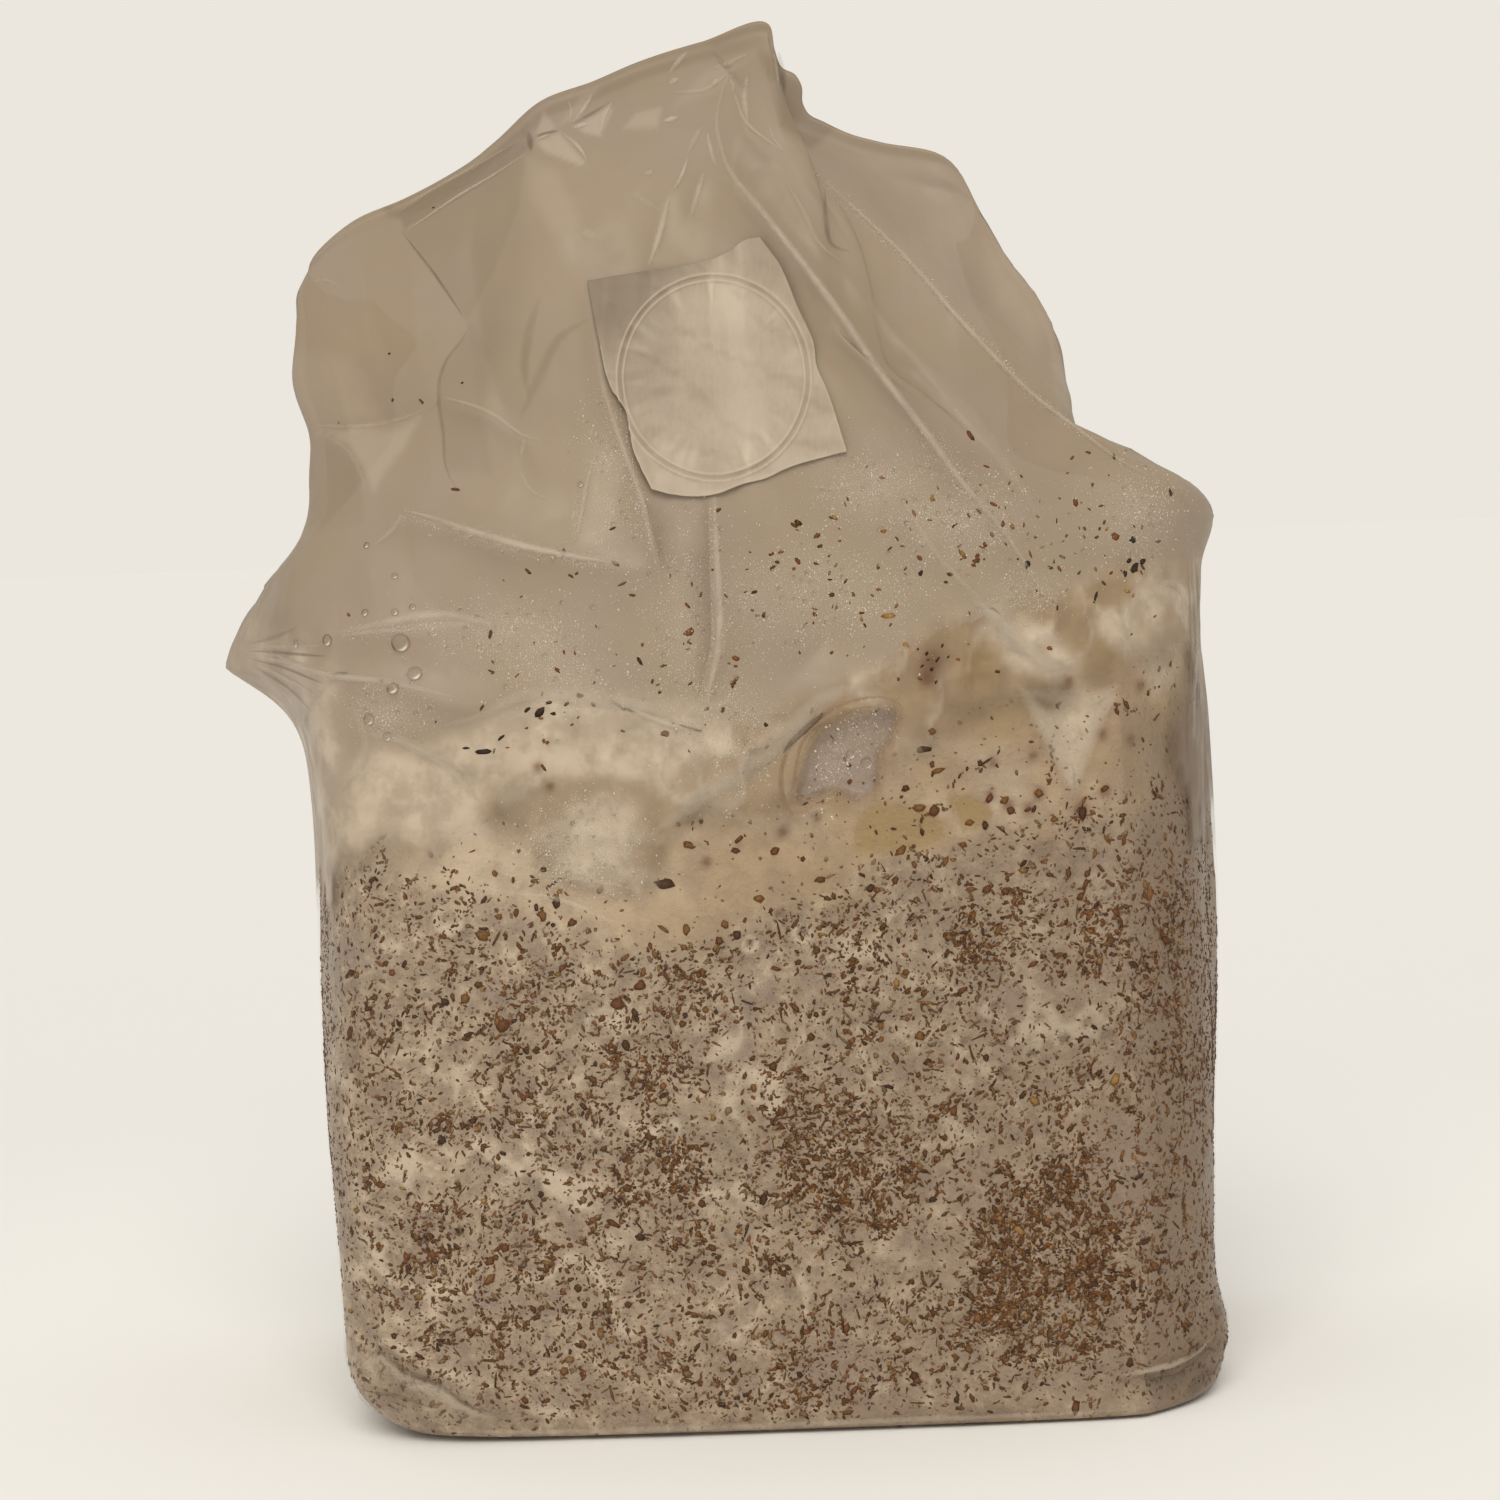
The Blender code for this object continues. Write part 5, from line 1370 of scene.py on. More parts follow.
def foremostAt(x, z):
    # the number of the film's foremost point in the cell that x and z fall in
    i = np.clip(((x - film["mapLeft"]) / film["cell"]).astype(int), 0, pointTable.shape[0] - 1)
    j = np.clip((z / film["cell"]).astype(int), 0, pointTable.shape[1] - 1)
    return pointTable[i, j]


def onFilm(x, z):
    # the film's place at x and z and its directions, from the plane at its nearest point
    number = foremostAt(x, z)
    nearest, facing = frontPoints[number], frontNormals[number]
    across, up = x - nearest[..., 0], z - nearest[..., 2]
    slope = (across * facing[..., 0] + up * facing[..., 2]) / np.minimum(facing[..., 1], -0.35)
    place = np.stack([x, nearest[..., 1] - np.clip(slope, -2, 2), z], axis=-1)
    sideways = toLengthOne(np.stack([-facing[..., 1], facing[..., 0], 0 * x], axis=-1))
    return place, facing, sideways, np.cross(facing, sideways)


def overFilm(x, z):
    # whether the film's nearest point is less than 1.2 mm away to the side
    nearest = frontPoints[foremostAt(x, z)]
    return np.hypot(x - nearest[..., 0], z - nearest[..., 2]) < 1.2


def frontMap():
    # the film's front as a depth map: the least y of the points in each square cell
    points = filmGrid[:, :bag["frontCount"]].reshape(-1, 3)
    depth = np.full([int(side / film["wideCell"]) for side in film["mapSize"]], 1e3)
    index = ((points[:, [0, 2]] - np.array([film["mapLeft"], 0])) / film["wideCell"]).astype(int)
    index = np.clip(index, 0, np.array(depth.shape) - 1)
    np.minimum.at(depth, (index[:, 0], index[:, 1]), points[:, 1])
    return depth


depthMap = frontMap()


def frontDepth(x, z):
    # the foremost of the nearby cells of the depth map, blended between cell middles
    near = depthMap.copy()
    for dx in (-1, 0, 1):
        for dz in (-1, 0, 1):
            near = np.minimum(near, np.roll(depthMap, (dx, dz), (0, 1)))
    u, v = (x - film["mapLeft"]) / film["wideCell"] - 0.5, z / film["wideCell"] - 0.5
    i, j = np.floor(u).astype(int), np.floor(v).astype(int)
    s, t = u - i, v - j
    return ((near[i, j] * (1 - s) + near[i + 1, j] * s) * (1 - t)
            + (near[i, j + 1] * (1 - s) + near[i + 1, j + 1] * s) * t)


print("film creases")
ribs = {
    "step": 0.7, "across": 14, "lift": 0.2, "spread": 1.3, "fade": 0.68,
    "inks": {"pale": (0.62, 0.525, 0.415), "dark": (0.15, 0.108, 0.068), "tan": (0.33, 0.21, 0.115)},
    # x and z along each crease, then half its width, its height, its strength, and its lean:
    # 0 is a rib, 1 or -1 is a painted shade on the left or right of the line
    # pale ribs: painted highlights on crease ridges, partly whitened film and white skin behind it
    "pale": [
        ([(2.4, 315.6), (-0.1, 312.5), (-2, 308.3), (-3.7, 299.1), (-2.9, 294.2), (-1.4, 289.2),
          (5.6, 279.3), (14.6, 266.4), (23.1, 253.7), (31.1, 240.7), (39.9, 228.2), (47.5, 216.8),
          (58.6, 202.1), (68.2, 184.6)], 0.8, 0.3, 0.8),
        ([(-1.4, 289.2), (5.6, 279.3), (14.6, 266.4), (23.1, 253.7), (39.9, 228.2),
          (58.6, 202.1)], 2.6, 0.2, 0.3, -1),
        ([(11.3, 285.9), (15, 279), (18.6, 270.7), (24, 266)], 0.5, 0.2, 0.5),
        ([(28.1, 259.3), (33.6, 249.7), (48.5, 232.9), (58.9, 218), (66.3, 206)], 1.7, 0.3, 0.4),
        ([(19.2, 287.2), (26.3, 280.1), (38.9, 266.6), (51, 251.3), (66.6, 234.1), (77.4, 225),
          (83, 220.4), (92, 214.6)], 0.6, 0.3, 0.75),
        ([(-85.4, 207.1), (-80.6, 210.8), (-78.1, 214.4)], 0.6, 0.2, 0.5),
        ([(-72, 166), (-62.5, 168.4), (-51, 172.4), (-37.7, 170.7), (-26.4, 169),
          (-12, 162.4)], 1.6, 0.3, 0.7),
        ([(-90, 165), (-80, 162.7), (-71, 157.4), (-63.4, 148.6)], 1.4, 0.3, 0.7),
        ([(-49.5, 131.7), (-39.4, 130.1), (-28.2, 127.4)], 0.5, 0.2, 0.6),
        ([(-107, 163.5), (-98.4, 175.9), (-91.8, 179.4)], 1, 0.3, 0.5),
        ([(-92, 173), (-89, 161), (-96, 151)], 1.2, 0.4, 0.5),
        ([(-79, 214.6), (-72.7, 212.9), (-63.1, 209.5), (-51.9, 206), (-38.5, 202.7),
          (-26.9, 200.6)], 0.8, 0.4, 1),
        ([(-26.9, 200.6), (-51.9, 206), (-63.1, 209.5), (-72.7, 212.9)], 2.6, 0.2, 0.35, -1),
        ([(-31.5, 238), (-28, 227), (-24.4, 216), (-22.5, 206), (-21.4, 199)], 0.7, 0.3, 0.65),
        ([(-33.9, 227), (-36.2, 219.9), (-38.3, 211.1), (-39.7, 206.7), (-42.9, 205.8)], 0.5, 0.2, 0.65),
        ([(-7.7, 216), (-7.7, 201), (-7.6, 192), (-8, 183), (-10.7, 172), (-12.7, 163)], 0.75, 0.4, 0.9),
        ([(-12.7, 163), (-17.4, 163.6), (-25.2, 166.6), (-33, 170.5)], 0.8, 0.3, 0.85),
        ([(-33, 170.5), (-25.2, 166.6), (-12.7, 163)], 3.5, 0.2, 0.4, -1),
        ([(-116, 183.5), (-98.2, 178.4), (-81.4, 176.1), (-66.1, 172)], 0.8, 0.3, 0.8),
        ([(-66.1, 172), (-81.4, 176.1), (-98.2, 178.4)], 3, 0.2, 0.3, -1),
        ([(-95, 187.6), (-84.5, 189.4), (-75.7, 190.8), (-64, 190), (-53, 184)], 1.1, 0.3, 0.75),
        ([(-93, 187), (-84.5, 188), (-75.9, 187.4)], 0.6, 0.2, 0.6),
        ([(28.5, 172), (17.4, 169.5), (7.5, 162.5), (-2.5, 155), (-13.8, 147.6),
          (-26.3, 139)], 2.4, 0.5, 0.65),
        ([(13.4, 168.6), (6.2, 161.7), (-2, 155.7), (-10.1, 149.1), (-18.5, 144)], 4.5, 0.2, 0.4, 1),
        ([(-78, 278.6), (-62.9, 287.9), (-55.6, 291.6), (-48.5, 295.7)], 0.35, 0.15, 0.8),
        ([(-80, 283.6), (-71.7, 289), (-60.8, 294.2), (-50, 299.4)], 0.4, 0.1, 0.4),
        ([(-39, 308.5), (-38.1, 305.3), (-38.2, 302.3)], 0.45, 0.2, 0.8),
        ([(-33, 309.9), (-35.3, 305.5), (-37.7, 302.3)], 0.6, 0.2, 0.9),
        ([(-28.3, 307.2), (-30.3, 302.9), (-31.1, 299)], 0.55, 0.2, 0.9),
        ([(-40.2, 300.2), (-35.3, 295), (-34, 292.1)], 0.5, 0.2, 1),
        ([(-46.5, 298.7), (-43, 300)], 0.4, 0.1, 0.7),
        ([(-37.7, 301), (-34, 302)], 0.5, 0.2, 0.9),
        ([(-10, 319.1), (-12.8, 315.8), (-14.6, 313.2)], 0.7, 0.2, 0.7),
        ([(-12.2, 311.9), (-14.7, 310.6)], 0.7, 0.2, 0.9),
        ([(-16.3, 301.3), (-12.5, 302.3)], 0.7, 0.2, 0.9),
        ([(-13.7, 308.3), (-5.4, 308.9), (-0.5, 312.5)], 0.5, 0.2, 0.45),
        ([(-4.6, 313.6), (0.3, 315.6), (4.6, 317.6)], 0.6, 0.2, 0.6),
        ([(-2.9, 311.2), (-4.7, 309.2)], 0.5, 0.2, 0.8),
        ([(-0.5, 311.1), (0.4, 309.2), (0.3, 307)], 0.4, 0.2, 0.8),
        ([(4, 312), (2.9, 305.7), (3.4, 299.3)], 0.75, 0.3, 0.85),
        ([(-0.2, 309.6), (1, 305.8), (2.5, 300.8), (8.3, 295), (11.6, 292.5)], 0.4, 0.2, 0.7),
        ([(8.6, 300.5), (8.7, 297), (11.6, 292.5)], 0.35, 0.2, 0.7),
        ([(9.2, 321.5), (10.4, 315.9), (10.8, 307.7)], 0.4, 0.2, 0.7),
        ([(-6.1, 298.6), (-5, 292.2), (-4.1, 289.4)], 0.5, 0.2, 0.85),
        ([(-6.7, 300), (-9.2, 296.7), (-10.7, 293.2)], 0.6, 0.2, 0.45),
        ([(-10.7, 292.5), (-12.6, 287.8), (-14.4, 284.8)], 0.45, 0.2, 0.9),
        ([(-15.4, 283.8), (-17.4, 276.4), (-20.8, 267.1)], 0.75, 0.3, 0.85),
        ([(-7.1, 288.9), (-8.7, 284.2), (-10.6, 278.5)], 0.7, 0.3, 0.8),
        ([(-21.1, 288.9), (-18.7, 289.8)], 0.6, 0.2, 0.5),
        ([(-25.3, 285.7), (-17.9, 280.5)], 0.9, 0.2, 0.3),
        ([(-36.1, 276), (-32.3, 275.2)], 1.2, 0.2, 0.4),
        ([(-103.2, 234.2), (-98.2, 234.2), (-92.9, 233.8), (-82.6, 234.4), (-76.9, 236),
          (-70.1, 238.5)], 0.5, 0.2, 0.4),
        ([(-98.5, 232.2), (-95.3, 230.5), (-92.8, 228.8), (-90, 224.9), (-88.6, 221.7),
          (-87.4, 218)], 0.5, 0.2, 0.3),
        ([(-70, 239.9), (-63, 237.8), (-58.3, 235.8), (-50.3, 230.3), (-45.7, 228.8)], 0.5, 0.2, 0.6),
        ([(-50.3, 230.3), (-51.4, 224.9)], 0.45, 0.2, 0.5),
        ([(-51.7, 222.7), (-49.5, 218.2), (-45.5, 215.8)], 0.5, 0.2, 0.4),
        ([(-101.1, 267), (-98.4, 268.2), (-92.3, 265.6)], 0.5, 0.1, 0.35),
        ([(30.9, 217.7), (35.1, 211.5), (40.3, 202.3), (46.7, 194.2), (55.5, 185.9)], 0.7, 0.3, 0.5),
        ([(35.4, 217.5), (29.7, 217.7), (20.7, 215.8), (11.7, 216.4)], 0.6, 0.2, 0.3),
        ([(48, 192), (56.6, 183.1), (64.6, 175.2), (72.7, 171.4)], 2, 0.5, 0.7),
        ([(48.4, 184.1), (52, 186.5), (55.5, 185), (56, 181), (61.8, 176)], 1.2, 0.3, 0.6),
        ([(58.8, 170), (62.1, 165), (65.9, 157.9), (69.1, 149.5), (70.6, 146)], 2.2, 0.5, 0.65),
        ([(81, 167.5), (76.5, 161.6), (73.4, 154.8), (70.8, 146)], 2, 0.5, 0.6),
        ([(60, 168.5), (69.8, 166.5), (75.4, 166.4), (82.5, 169)], 1.8, 0.3, 0.4),
        ([(101.6, 198.7), (102.3, 186), (102.6, 174.4), (101.1, 162.9), (100.1, 151.3)], 0.6, 0.3, 0.6),
        ([(90.2, 187.3), (95.1, 190.9), (98.5, 188.5), (99.3, 179.2)], 0.9, 0.3, 0.6),
        ([(-64, 148), (-66, 155), (-78, 160)], 1, 0.2, 0.35),
        ([(-63, 129), (-46.4, 126), (-30, 118)], 0.6, 0.2, 0.5),
        ([(-97, 17.5), (-92, 21), (-88, 17), (-79, 13.2), (-73, 9), (-66, 6.6)], 1.3, 0.3, 0.6),
        ([(-97, 6.5), (-86.8, 4.6), (-68.6, 3.4), (-20, 2.6), (40, 2.6), (88, 2.6)], 0.8, 0.2, 0.5),
        ([(76, 10.7), (84, 11.4), (90, 11.6), (95, 13), (99, 15.4)], 0.8, 0.3, 0.7),
        ([(-118, 182.9), (-108, 184), (-98, 185)], 0.5, 0.2, 0.6),
        ([(-118, 181), (-106, 180.5), (-96, 179.5)], 0.4, 0.2, 0.6),
        ([(-118, 179.6), (-106, 175.5), (-99, 172)], 0.5, 0.2, 0.5)],
    "tan": [
        ([(32, 163), (28.7, 159.6), (27.6, 150), (25.5, 147), (20.6, 147.2), (17.2, 146), (11.6, 144.8),
          (6.7, 143.3), (4.8, 148.2), (7.3, 159.1), (10.9, 162.4), (16.6, 166.3), (22.9, 168.4),
          (29.8, 168.1), (32.4, 166.3), (32, 163)], 0.55, 0.1, 0.8),
        ([(28.4, 163), (26.6, 158.3), (24.6, 150.8), (20.7, 149.6), (18.2, 148.7), (13.7, 146.4),
          (8.2, 147.3), (8.3, 154.9), (10.9, 161), (16.5, 163.9), (23.1, 166.4), (28.3, 165.8),
          (28.4, 163)], 0.4, 0.1, 0.7),
        ([(60, 132), (62.4, 134.4), (66.3, 135.2), (65.5, 131), (62, 129.5), (60, 132)], 0.35, 0.1, 0.6),
        ([(21, 134), (21, 139), (22.5, 142.7), (27, 144.8), (32, 143.9)], 0.4, 0.1, 0.4)],
    # dark ribs: mostly painted shadow lines in folds and at the base's corners, some dark panel edges
    "dark": [
        ([(-79.1, 279), (-71.3, 268.9), (-63.8, 257.6)], 0.35, 0.05, 0.6),
        ([(-62.4, 256.6), (-64.6, 252.7), (-68.2, 248.3), (-70, 243.8), (-70.3, 239.2), (-69.5, 232.3),
          (-68.6, 223.1), (-66.1, 218.3)], 0.5, 0.05, 0.35),
        ([(-46.8, 299.6), (-44.4, 300.3), (-40.9, 300.8)], 0.35, 0.05, 0.7),
        ([(-37.7, 302), (-33.2, 304.6), (-28.3, 307.4)], 0.35, 0.05, 0.5),
        ([(-48.5, 301.5), (-47.4, 296)], 0.8, 0.05, 0.6),
        ([(11.4, 318), (12, 312), (12.2, 306)], 0.9, 0.05, 0.5),
        ([(20.4, 284), (20.2, 277), (21.5, 270.6), (25.5, 269)], 0.6, 0.05, 0.5),
        ([(-45.9, 261.8), (-48.7, 253.9), (-49.9, 244.1), (-49.2, 239.1)], 1.2, 0.05, 0.2),
        ([(-34.9, 256.3), (-42, 251.8), (-46.4, 244), (-51.4, 234)], 1.2, 0.05, 0.2),
        ([(-9.2, 214), (-9.2, 192), (-9.6, 183), (-13, 170)], 3, 0.05, 0.35, -1),
        ([(-23.6, 215), (-21.6, 205), (-20.4, 199)], 2.4, 0.05, 0.3, 1),
        ([(-119, 182), (-108, 182.6), (-97, 182.4)], 0.4, 0.05, 0.7),
        ([(-119, 180.3), (-107, 178.6), (-98, 176)], 0.4, 0.05, 0.7),
        ([(-118.5, 179), (-109, 174), (-102, 169)], 0.5, 0.05, 0.5),
        ([(-119, 183.6), (-111, 186), (-104, 189)], 0.5, 0.05, 0.35),
        ([(-97, 19.6), (-92.7, 22.8), (-90.2, 20.3), (-84.4, 17.3), (-79, 14.8), (-76.2, 12.8),
          (-73.3, 10.6), (-66.9, 8.1)], 0.6, 0.05, 1.2),
        ([(-98.6, 12.6), (-90.2, 12.6), (-84.8, 11), (-80, 9.4)], 0.5, 0.05, 1),
        ([(76.6, 9), (80.4, 9.9), (84.2, 9.8), (89, 9.6), (94.2, 11.3), (98.5, 13.7),
          (101, 15.6)], 0.8, 0.05, 1.3),
        ([(78, 9), (84.2, 9.7), (89, 9.5), (94.2, 11.2), (98.5, 13.6), (101, 15.5)], 2.4, 0.05, 0.8, -1),
        ([(91.8, 2), (95.5, 4), (99.1, 6.5), (101.6, 8.7)], 0.7, 0.05, 1.3),
        ([(93, 3), (96, 4.6), (99.4, 6.8), (101.6, 8.7)], 0.8, 0.05, 0.8, -1),
        ([(102.3, 15.2), (101.7, 11), (101.2, 8.4)], 0.4, 0.05, 1),
        ([(101.6, 21), (102, 18.5)], 0.9, 0.05, 1.2),
        ([(103.4, 196), (103.2, 181.3), (102.6, 169.7), (100.8, 156)], 0.5, 0.05, 0.6),
        ([(100.4, 196), (100.8, 184), (100.6, 172), (99, 160), (98.6, 148)], 0.5, 0.05, 0.5)],
}


def ribMesh(line, half, high, strength, lean=0):
    # The cross-section runs from -1 to 1 across a smooth path. A rib is highest in its
    # middle, and a painted shade is strongest at the path and fades to the side it leans to.
    table, long = byLength(line)
    at = np.linspace(0, 1, max(int(long / ribs["step"]), 8))
    x, z = curveThrough(table, 1, at), curveThrough(table, 2, at)
    dx, dz = np.gradient(x), np.gradient(z)
    length = np.maximum(np.hypot(dx, dz), 1e-6)
    taper = (0.08 + 0.92 * np.sin(math.pi * at) ** 0.7)[:, None]
    u = np.sin(np.linspace(-0.5 * math.pi, 0.5 * math.pi, ribs["across"]))[None]
    reach = (u + lean) * half * ribs["spread"] * taper
    x, z = x[:, None] - (dz / length)[:, None] * reach, z[:, None] + (dx / length)[:, None] * reach
    if lean:
        shape = ((1 - lean * u) / 2) ** 1.4 * np.clip((1 + lean * u) / 0.1, 0, 1)
    else:
        shape = (1 - u ** 2) ** 1.2
    place, facing = onFilm(x, z)[:2]
    depth = place[..., 1]
    for turn in range(3):
        depth[1:-1] = 0.5 * depth[1:-1] + 0.25 * (depth[:-2] + depth[2:])
    place = place + facing * (ribs["lift"] + high * shape * taper)[..., None]
    rows, columns = place.shape[:2]
    i = np.arange(columns // 2 - 1)
    cap = np.stack([i, i + 1, columns - 2 - i, columns - 1 - i], axis=-1)
    faces = np.concatenate([tubeFaces(rows, columns)[:, ::-1], cap, cap[:, ::-1] + (rows - 1) * columns])
    return place.reshape(-1, 3), faces, (strength * taper ** 0.7 * shape).reshape(-1)


def makeRibs(material):
    # every crease's painted highlight, painted shade or rim colour in its ink, all in one mesh
    parts = []
    for kind, ink in ribs["inks"].items():
        for crease in ribs[kind]:
            points, faces, strength = ribMesh(*crease)
            colours = np.tile(ink, (len(points), 1))
            parts.append((points, faces, np.column_stack([colours, ribs["fade"] * strength])))
    points, faces, marks = joined(parts)
    piece = newPiece("filmCreaseHighlightsAndShade", points, faces, material,
                     {"ink": marks[:, :3], "strength": marks[:, 3]})
    finishPiece(piece, "film")


makeRibs(makeRibMaterial())


print("filter patch")
patch = {
    # x and z along each edge, from the lower left corner to the right and up
    "bottom": [(-21.7, 217.4), (-17, 216), (-13.2, 215.4), (-7.6, 215.7), (-0.7, 217.8), (3.5, 218.6),
        (9.6, 221), (22.5, 224)],
    "top": [(-34.9, 265), (-20.4, 266.8), (-12, 267.6), (-2.8, 270), (2, 272.9), (4.9, 273.2)],
    "left": [(-21.7, 217.4), (-25.4, 226), (-27.6, 236.6), (-29.6, 239.5), (-32.6, 251.4), (-34.9, 265)],
    "right": [(22.5, 224), (19.6, 235), (18.6, 238.2), (16.6, 243.6), (16.2, 248), (12.6, 257.5),
        (9.2, 266.5), (4.9, 273.2)],
    "ring": (-6.8, 242, 21.3, 22.6), "ringGap": 0.034, "ringWide": 0.013, "ringHigh": 0.5,
    "count": 176, "gap": 0.7, "thick": 0.25,
}


def alongEdge(name, share):
    # the point at a share of an edge's length, on a smooth curve through its places
    table = byLength(patch[name])[0]
    return np.stack([curveThrough(table, 1, share), curveThrough(table, 2, share)], axis=-1)


def makePatch(material):
    # a sheet stretched between its four edges, laid over the film's depth with the ring,
    # ticks and folds pressed into it
    count = patch["count"]
    line = np.linspace(0, 1, count)
    s, t = (part[..., None] for part in np.meshgrid(line, line))
    bottom, top = alongEdge("bottom", line)[None], alongEdge("top", line)[None]
    left, right = alongEdge("left", line)[:, None], alongEdge("right", line)[:, None]
    corners = ((1 - s) * (1 - t) * bottom[:, :1] + s * (1 - t) * bottom[:, -1:]
               + (1 - s) * t * top[:, :1] + s * t * top[:, -1:])
    flat = bottom * (1 - t) + top * t + left * (1 - s) + right * s - corners
    x, z = flat[..., 0], flat[..., 1]
    middleX, middleZ, wide, high = patch["ring"]
    u, v = (x - middleX) / wide, (z - middleZ) / high
    radius, angle = np.hypot(u, v), np.arctan2(v, u)
    ring = 0
    for shift in (-patch["ringGap"], patch["ringGap"]):
        ring = ring + np.exp(-(((radius - 1 - shift) / patch["ringWide"]) ** 2))
    place = np.stack([x, np.zeros_like(x), z], axis=-1)
    creases = 0.12 * facetWaves(x, z, 61, 8, 7)
    ticks = np.clip(layeredNoise(np.stack([angle * 9, radius * 0.8, 0 * x], axis=-1), 1, 5, 2), 0, 1)
    side = np.exp(-(((radius - 0.86) / 0.13) ** 2)) * (np.abs(np.sin(angle)) * 0.6 + 0.4)
    band = np.exp(-(((x - 0.1 * (242 - z) + 0.5) / 5.5) ** 2))
    folds = np.clip(cellNoise(place * np.array([1, 1, 0.16]), 2.2, 8), 0, 1) * (0.3 + band)
    folds = folds * np.clip(np.abs(v) * 1.5 - 0.1, 0.1, 1)
    lift = patch["gap"] + creases + 0.35 * ticks * side + 0.3 * folds
    y = frontDepth(x, z) - lift
    for blur in range(6):
        around = y[:-2, 1:-1] + y[2:, 1:-1] + y[1:-1, :-2] + y[1:-1, 2:]
        y[1:-1, 1:-1] = 0.6 * y[1:-1, 1:-1] + 0.1 * around
    y = y - patch["ringHigh"] * ring - 0.15 * ticks * side
    points = np.stack([x, y, z], axis=-1)
    dark = ease(-8, -30, x - 0.35 * (z - 255)) * ease(236, 262, z)
    dark = dark * (0.35 + 0.65 * (radius > 1))
    dark = dark + 0.3 * ease(-12, -20, x) * ease(228, 240, z) * (radius < 1)
    dark = dark + 0.28 * (1 - ease(0, 0.035, np.abs(radius - 1))) + 0.25 * ease(262, 272, z)
    # pale: the ring's lines and the lower part, and painted highlights on the folds, the middle band, the
    # ticks and the edges
    pale = 0.6 * ring + 0.35 * band * (radius < 0.97) + 0.5 * ticks * side + 0.3 * folds
    pale = pale + 0.35 * ease(228, 219, z) * (radius > 1.04)
    edge = np.minimum(np.minimum(s, 1 - s), np.minimum(t, 1 - t))[..., 0]
    pale = pale + 0.5 * (1 - ease(0, 0.01, edge)) * (z < 250)
    piece = newPiece("filterPatch", points, sheetFaces(count, count), material,
                     {"dark": np.clip(dark, 0, 0.85), "pale": np.clip(pale, 0, 0.8)})
    thick = piece.modifiers.new("thickness", "SOLIDIFY")
    thick.thickness = patch["thick"] * mm
    thick.offset = -1
    finishPiece(piece, "filter_sheet", "filter_patch")


makePatch(makePatchMaterial())


print("water and loose flakes")


def dropMesh(places, radii, highs, sides, rings):
    # a lens for each drop: rings from its middle in front, round the rim, to the back
    point, facing, sideways, upward = places
    turn = np.linspace(0, 0.5 * math.pi, rings + 1)[1:]
    angles = np.arange(sides) * 2 * math.pi / sides
    out, high = np.sin(turn), np.cos(turn)
    u = (out[:, None] * np.cos(angles))[None] * radii[:, None, None]
    v = (out[:, None] * np.sin(angles))[None] * radii[:, None, None]
    w = (high[:, None] * np.ones(sides))[None] * highs[:, None, None]
    body = (point[:, None, None] + sideways[:, None, None] * u[..., None]
            + upward[:, None, None] * v[..., None] + facing[:, None, None] * w[..., None])
    count = len(point)
    body = body.reshape(count, -1, 3)
    tip = point + facing * highs[:, None]
    back = point - facing * 0.25 * highs[:, None]
    points = np.concatenate([body, tip[:, None], back[:, None]], axis=1)
    # painted light: a bright crescent inside the rim on one side, and a dark rim that is lighter on that
    # side
    glint = np.maximum(np.cos(angles + 1), 0) ** 2 * np.exp(-(((out - 0.7) / 0.17) ** 2))[:, None]
    edge = ease(0.86, 1, out)[:, None] * (1 - 0.7 * np.maximum(np.cos(angles + 1), 0))
    marks = [np.tile(np.concatenate([part.ravel(), [0, 0]]), count) for part in (glint, edge)]
    size = rings * sides + 2
    first = np.arange(count)[:, None] * size
    here, after = np.arange(sides), (np.arange(sides) + 1) % sides
    faces = []
    tipIndex, backIndex = rings * sides, rings * sides + 1

    def fan(a, b, c):
        # one triangle for each drop and side, from the numbers of its three corners
        return np.stack([first + a, first + b, first + c + 0 * a], axis=-1).reshape(-1, 3)

    faces.append(fan(here, after, np.full(sides, tipIndex)))
    for ring in range(rings - 1):
        a, b = ring * sides, (ring + 1) * sides
        faces.append(fan(b + here, b + after, a + here))
        faces.append(fan(b + after, a + after, a + here))
    last = (rings - 1) * sides
    faces.append(fan(last + after, last + here, np.full(sides, backIndex)))
    return points.reshape(-1, 3), np.concatenate(faces), np.stack(marks, axis=-1)


def dewPlaces(rng):
    # a jittered lattice over the front, thinned by the strength of the dewy fields
    step = drops["fineStep"]
    left, right, low, high = drops["dewRange"]
    x, z = np.meshgrid(np.arange(left, right, step), np.arange(low, high, step))
    x = (x + rng.uniform(-0.45, 0.45, x.shape) * step).ravel()
    z = (z + rng.uniform(-0.45, 0.45, z.shape) * step).ravel()
    chance = fieldWeight(x, z, drops["fields"]) * 0.9 + lineGlow(x, z, drops["lines"])
    kept = (rng.random(len(x)) < np.clip(chance, 0, 0.85)) & overFilm(x, z)
    return x[kept][:drops["fineMost"]], z[kept][:drops["fineMost"]]


isFront = np.arange(filmGrid.shape[1]) < bag["frontCount"]


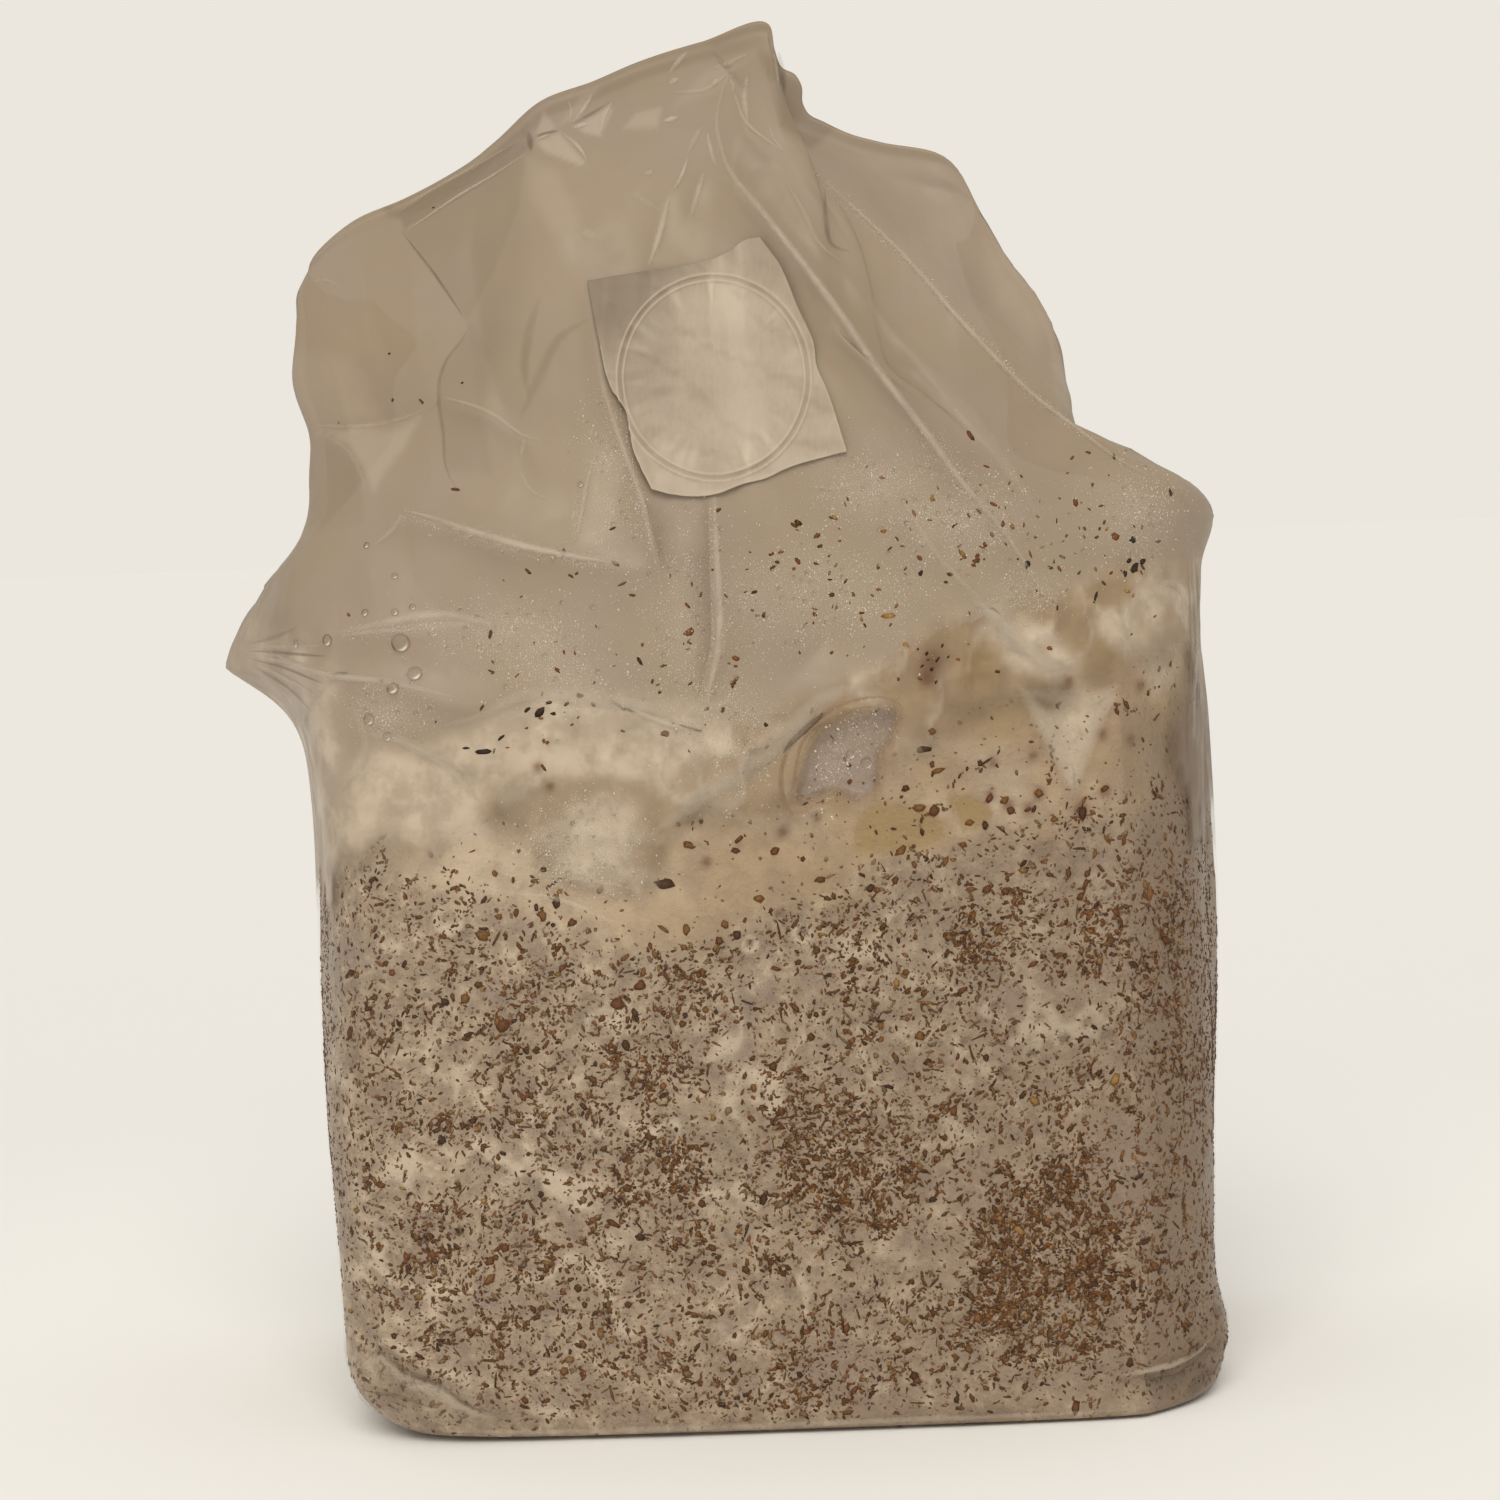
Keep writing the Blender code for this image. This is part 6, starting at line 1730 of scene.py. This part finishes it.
def makeWater():
    # the fine dew in two halves, then the listed drops and smaller ones scattered among
    # them where the film is hazy
    rng = np.random.default_rng(drops["seed"])
    x, z = filmGrid[..., 0], filmGrid[..., 2]
    weights = fieldWeight(x, z, drops["fields"]) * isFront * np.clip(filmHaze + 0.3, 0, 1)
    dewX, dewZ = dewPlaces(rng)
    material = makeDewMaterial()
    for name, half in (("fineDew", slice(0, None, 2)), ("fineDewBetween", slice(1, None, 2))):
        radii = np.clip(rng.lognormal(math.log(0.15), 0.4, len(dewX[half])), 0.07, 0.4)
        points, faces, marks = dropMesh(onFilm(dewX[half], dewZ[half]), radii, radii * 0.6, 4, 1)
        piece = newPiece(name, points, faces, material)
        finishPiece(piece, "film")
    large = np.array(drops["large"])
    some = placesOn(filmGrid, weights, drops["coarse"], rng)
    more = rng.uniform(0.3, 0.6, drops["coarse"])
    points, faces, marks = joined([
        dropMesh(onFilm(large[:, 0], large[:, 1]), large[:, 2] / 2, large[:, 2] * 0.3, 20, 8),
        dropMesh(some, more, more * 0.7, 8, 4)])
    piece = newPiece("waterDrops", points, faces, makeWaterMaterial(),
                     {"paintedGlint": marks[:, 0], "edge": marks[:, 1]})
    finishPiece(piece, "film")


def makeLooseFlakes():
    # scattered flakes, the black specks, and the listed crumbs that lie high enough to
    # stick to the hazy film
    rng = np.random.default_rng(drops["looseSeed"])
    x, z = filmGrid[..., 0], filmGrid[..., 2]
    weights = (fieldWeight(x, z, drops["looseFields"]) + 0.02) * isFront * filmHaze * (z < 245)
    count = drops["loose"]
    places = placesOn(filmGrid, weights, count, rng)
    lengths = np.clip(rng.lognormal(math.log(1.3), 0.4, count), 0.6, 3.4)
    flakes = chipMesh(places, lengths, lengths * rng.uniform(0.3, 0.7, count),
                      rng.uniform(0, math.pi, count), 0, 0.2, rng)
    crumbs = np.array(dust["crumbList"])
    crumbs = crumbs[crumbs[:, 1] >= lowHaze(crumbs[:, 0])]
    turns = rng.uniform(-1.5, 1.5, len(crumbs))
    held = listedChips(crumbs, onFilm(crumbs[:, 0], crumbs[:, 1]), turns, 0.05, 0.25, rng)
    listed = np.array(drops["specks"])
    turns = np.where(listed[:, 0] < 0, 0.35, 0.7) + rng.uniform(-0.4, 0.4, len(listed))
    specks = listedChips(listed, onFilm(listed[:, 0], listed[:, 1]), turns, 0.05, 0.2, rng)
    black = np.tile(drops["speckColour"], (len(specks[0]), 1))
    points, faces, colours = joined([(*flakes, dustColours(count, 6, rng) * 1.25),
                                     (*specks, black), (*held, crumbColours(crumbs, rng))])
    piece = newPiece("looseFlakes", points, faces, flakeMaterial, {"dust": colours}, smooth=False)
    finishPiece(piece, "mycelium")


makeWater()
makeLooseFlakes()


print("stage, lights and camera")
view = {"aim": (0, 0, 165), "rise": 5, "far": 950, "lens": 94.5, "roll": 2.39,
        "shift": (-7, -56), "picture": 1500}
sun = {"place": (-50, -700, 735), "colour": (1, 0.955, 0.87), "strength": 1.46, "angle": 38}
room = {"seen": (0.831, 0.799, 0.73, 1), "lit": (1, 0.955, 0.87, 1), "strength": 0.6}


def addFloor():
    # one wide square just below the base
    size = 4000
    corners = [(x * size, y * size, -0.4) for x, y in ((-1, -1), (1, -1), (1, 1), (-1, 1))]
    floor = newPiece("floor", corners, np.array([[0, 1, 2, 3]]), makeFloorMaterial(), smooth=False)


def addSun():
    # a sun lamp at its place, turned from there to the middle of the base
    lamp = bpy.data.lights.new("window light", "SUN")
    lamp.color = sun["colour"]
    lamp.energy = sun["strength"]
    lamp.angle = math.radians(sun["angle"])
    holder = bpy.data.objects.new("window light", lamp)
    place = Vector(sun["place"])
    turn = (-place).to_track_quat("-Z", "Y").to_matrix().to_4x4()
    holder.matrix_world = Matrix.Translation(place * mm) @ turn
    bpy.context.scene.collection.objects.link(holder)


def addWorld():
    # one even colour that the camera sees, and another that lights the part
    world = bpy.data.worlds.new("room")
    bpy.context.scene.world = world
    world.use_nodes = True
    tree = world.node_tree
    tree.nodes.clear()
    seen = tree.nodes.new("ShaderNodeBackground")
    seen.inputs["Color"].default_value = room["seen"]
    lit = tree.nodes.new("ShaderNodeBackground")
    lit.inputs["Color"].default_value = room["lit"]
    lit.inputs["Strength"].default_value = room["strength"]
    path = tree.nodes.new("ShaderNodeLightPath")
    mix = tree.nodes.new("ShaderNodeMixShader")
    out = tree.nodes.new("ShaderNodeOutputWorld")
    tree.links.new(path.outputs["Is Camera Ray"], mix.inputs[0])
    tree.links.new(lit.outputs[0], mix.inputs[1])
    tree.links.new(seen.outputs[0], mix.inputs[2])
    tree.links.new(mix.outputs[0], out.inputs[0])


def addCamera():
    # a little above the aim, looking at it, rolled by the photo's lean
    data = bpy.data.cameras.new("camera")
    data.sensor_width = 36
    data.lens = view["lens"]
    holder = bpy.data.objects.new("camera", data)
    rise = math.radians(view["rise"])
    aim = Vector(view["aim"]) * mm
    place = aim + Vector((0, -math.cos(rise), math.sin(rise))) * view["far"] * mm
    turn = (aim - place).to_track_quat("-Z", "Y").to_matrix().to_4x4()
    roll = Matrix.Rotation(math.radians(-view["roll"]), 4, "Z")
    holder.matrix_world = Matrix.Translation(place) @ turn @ roll
    data.shift_x, data.shift_y = (part / view["picture"] for part in view["shift"])
    bpy.context.scene.collection.objects.link(holder)
    bpy.context.scene.camera = holder


addFloor()
addSun()
addWorld()
addCamera()
bpy.context.scene.view_settings.view_transform = "Standard"
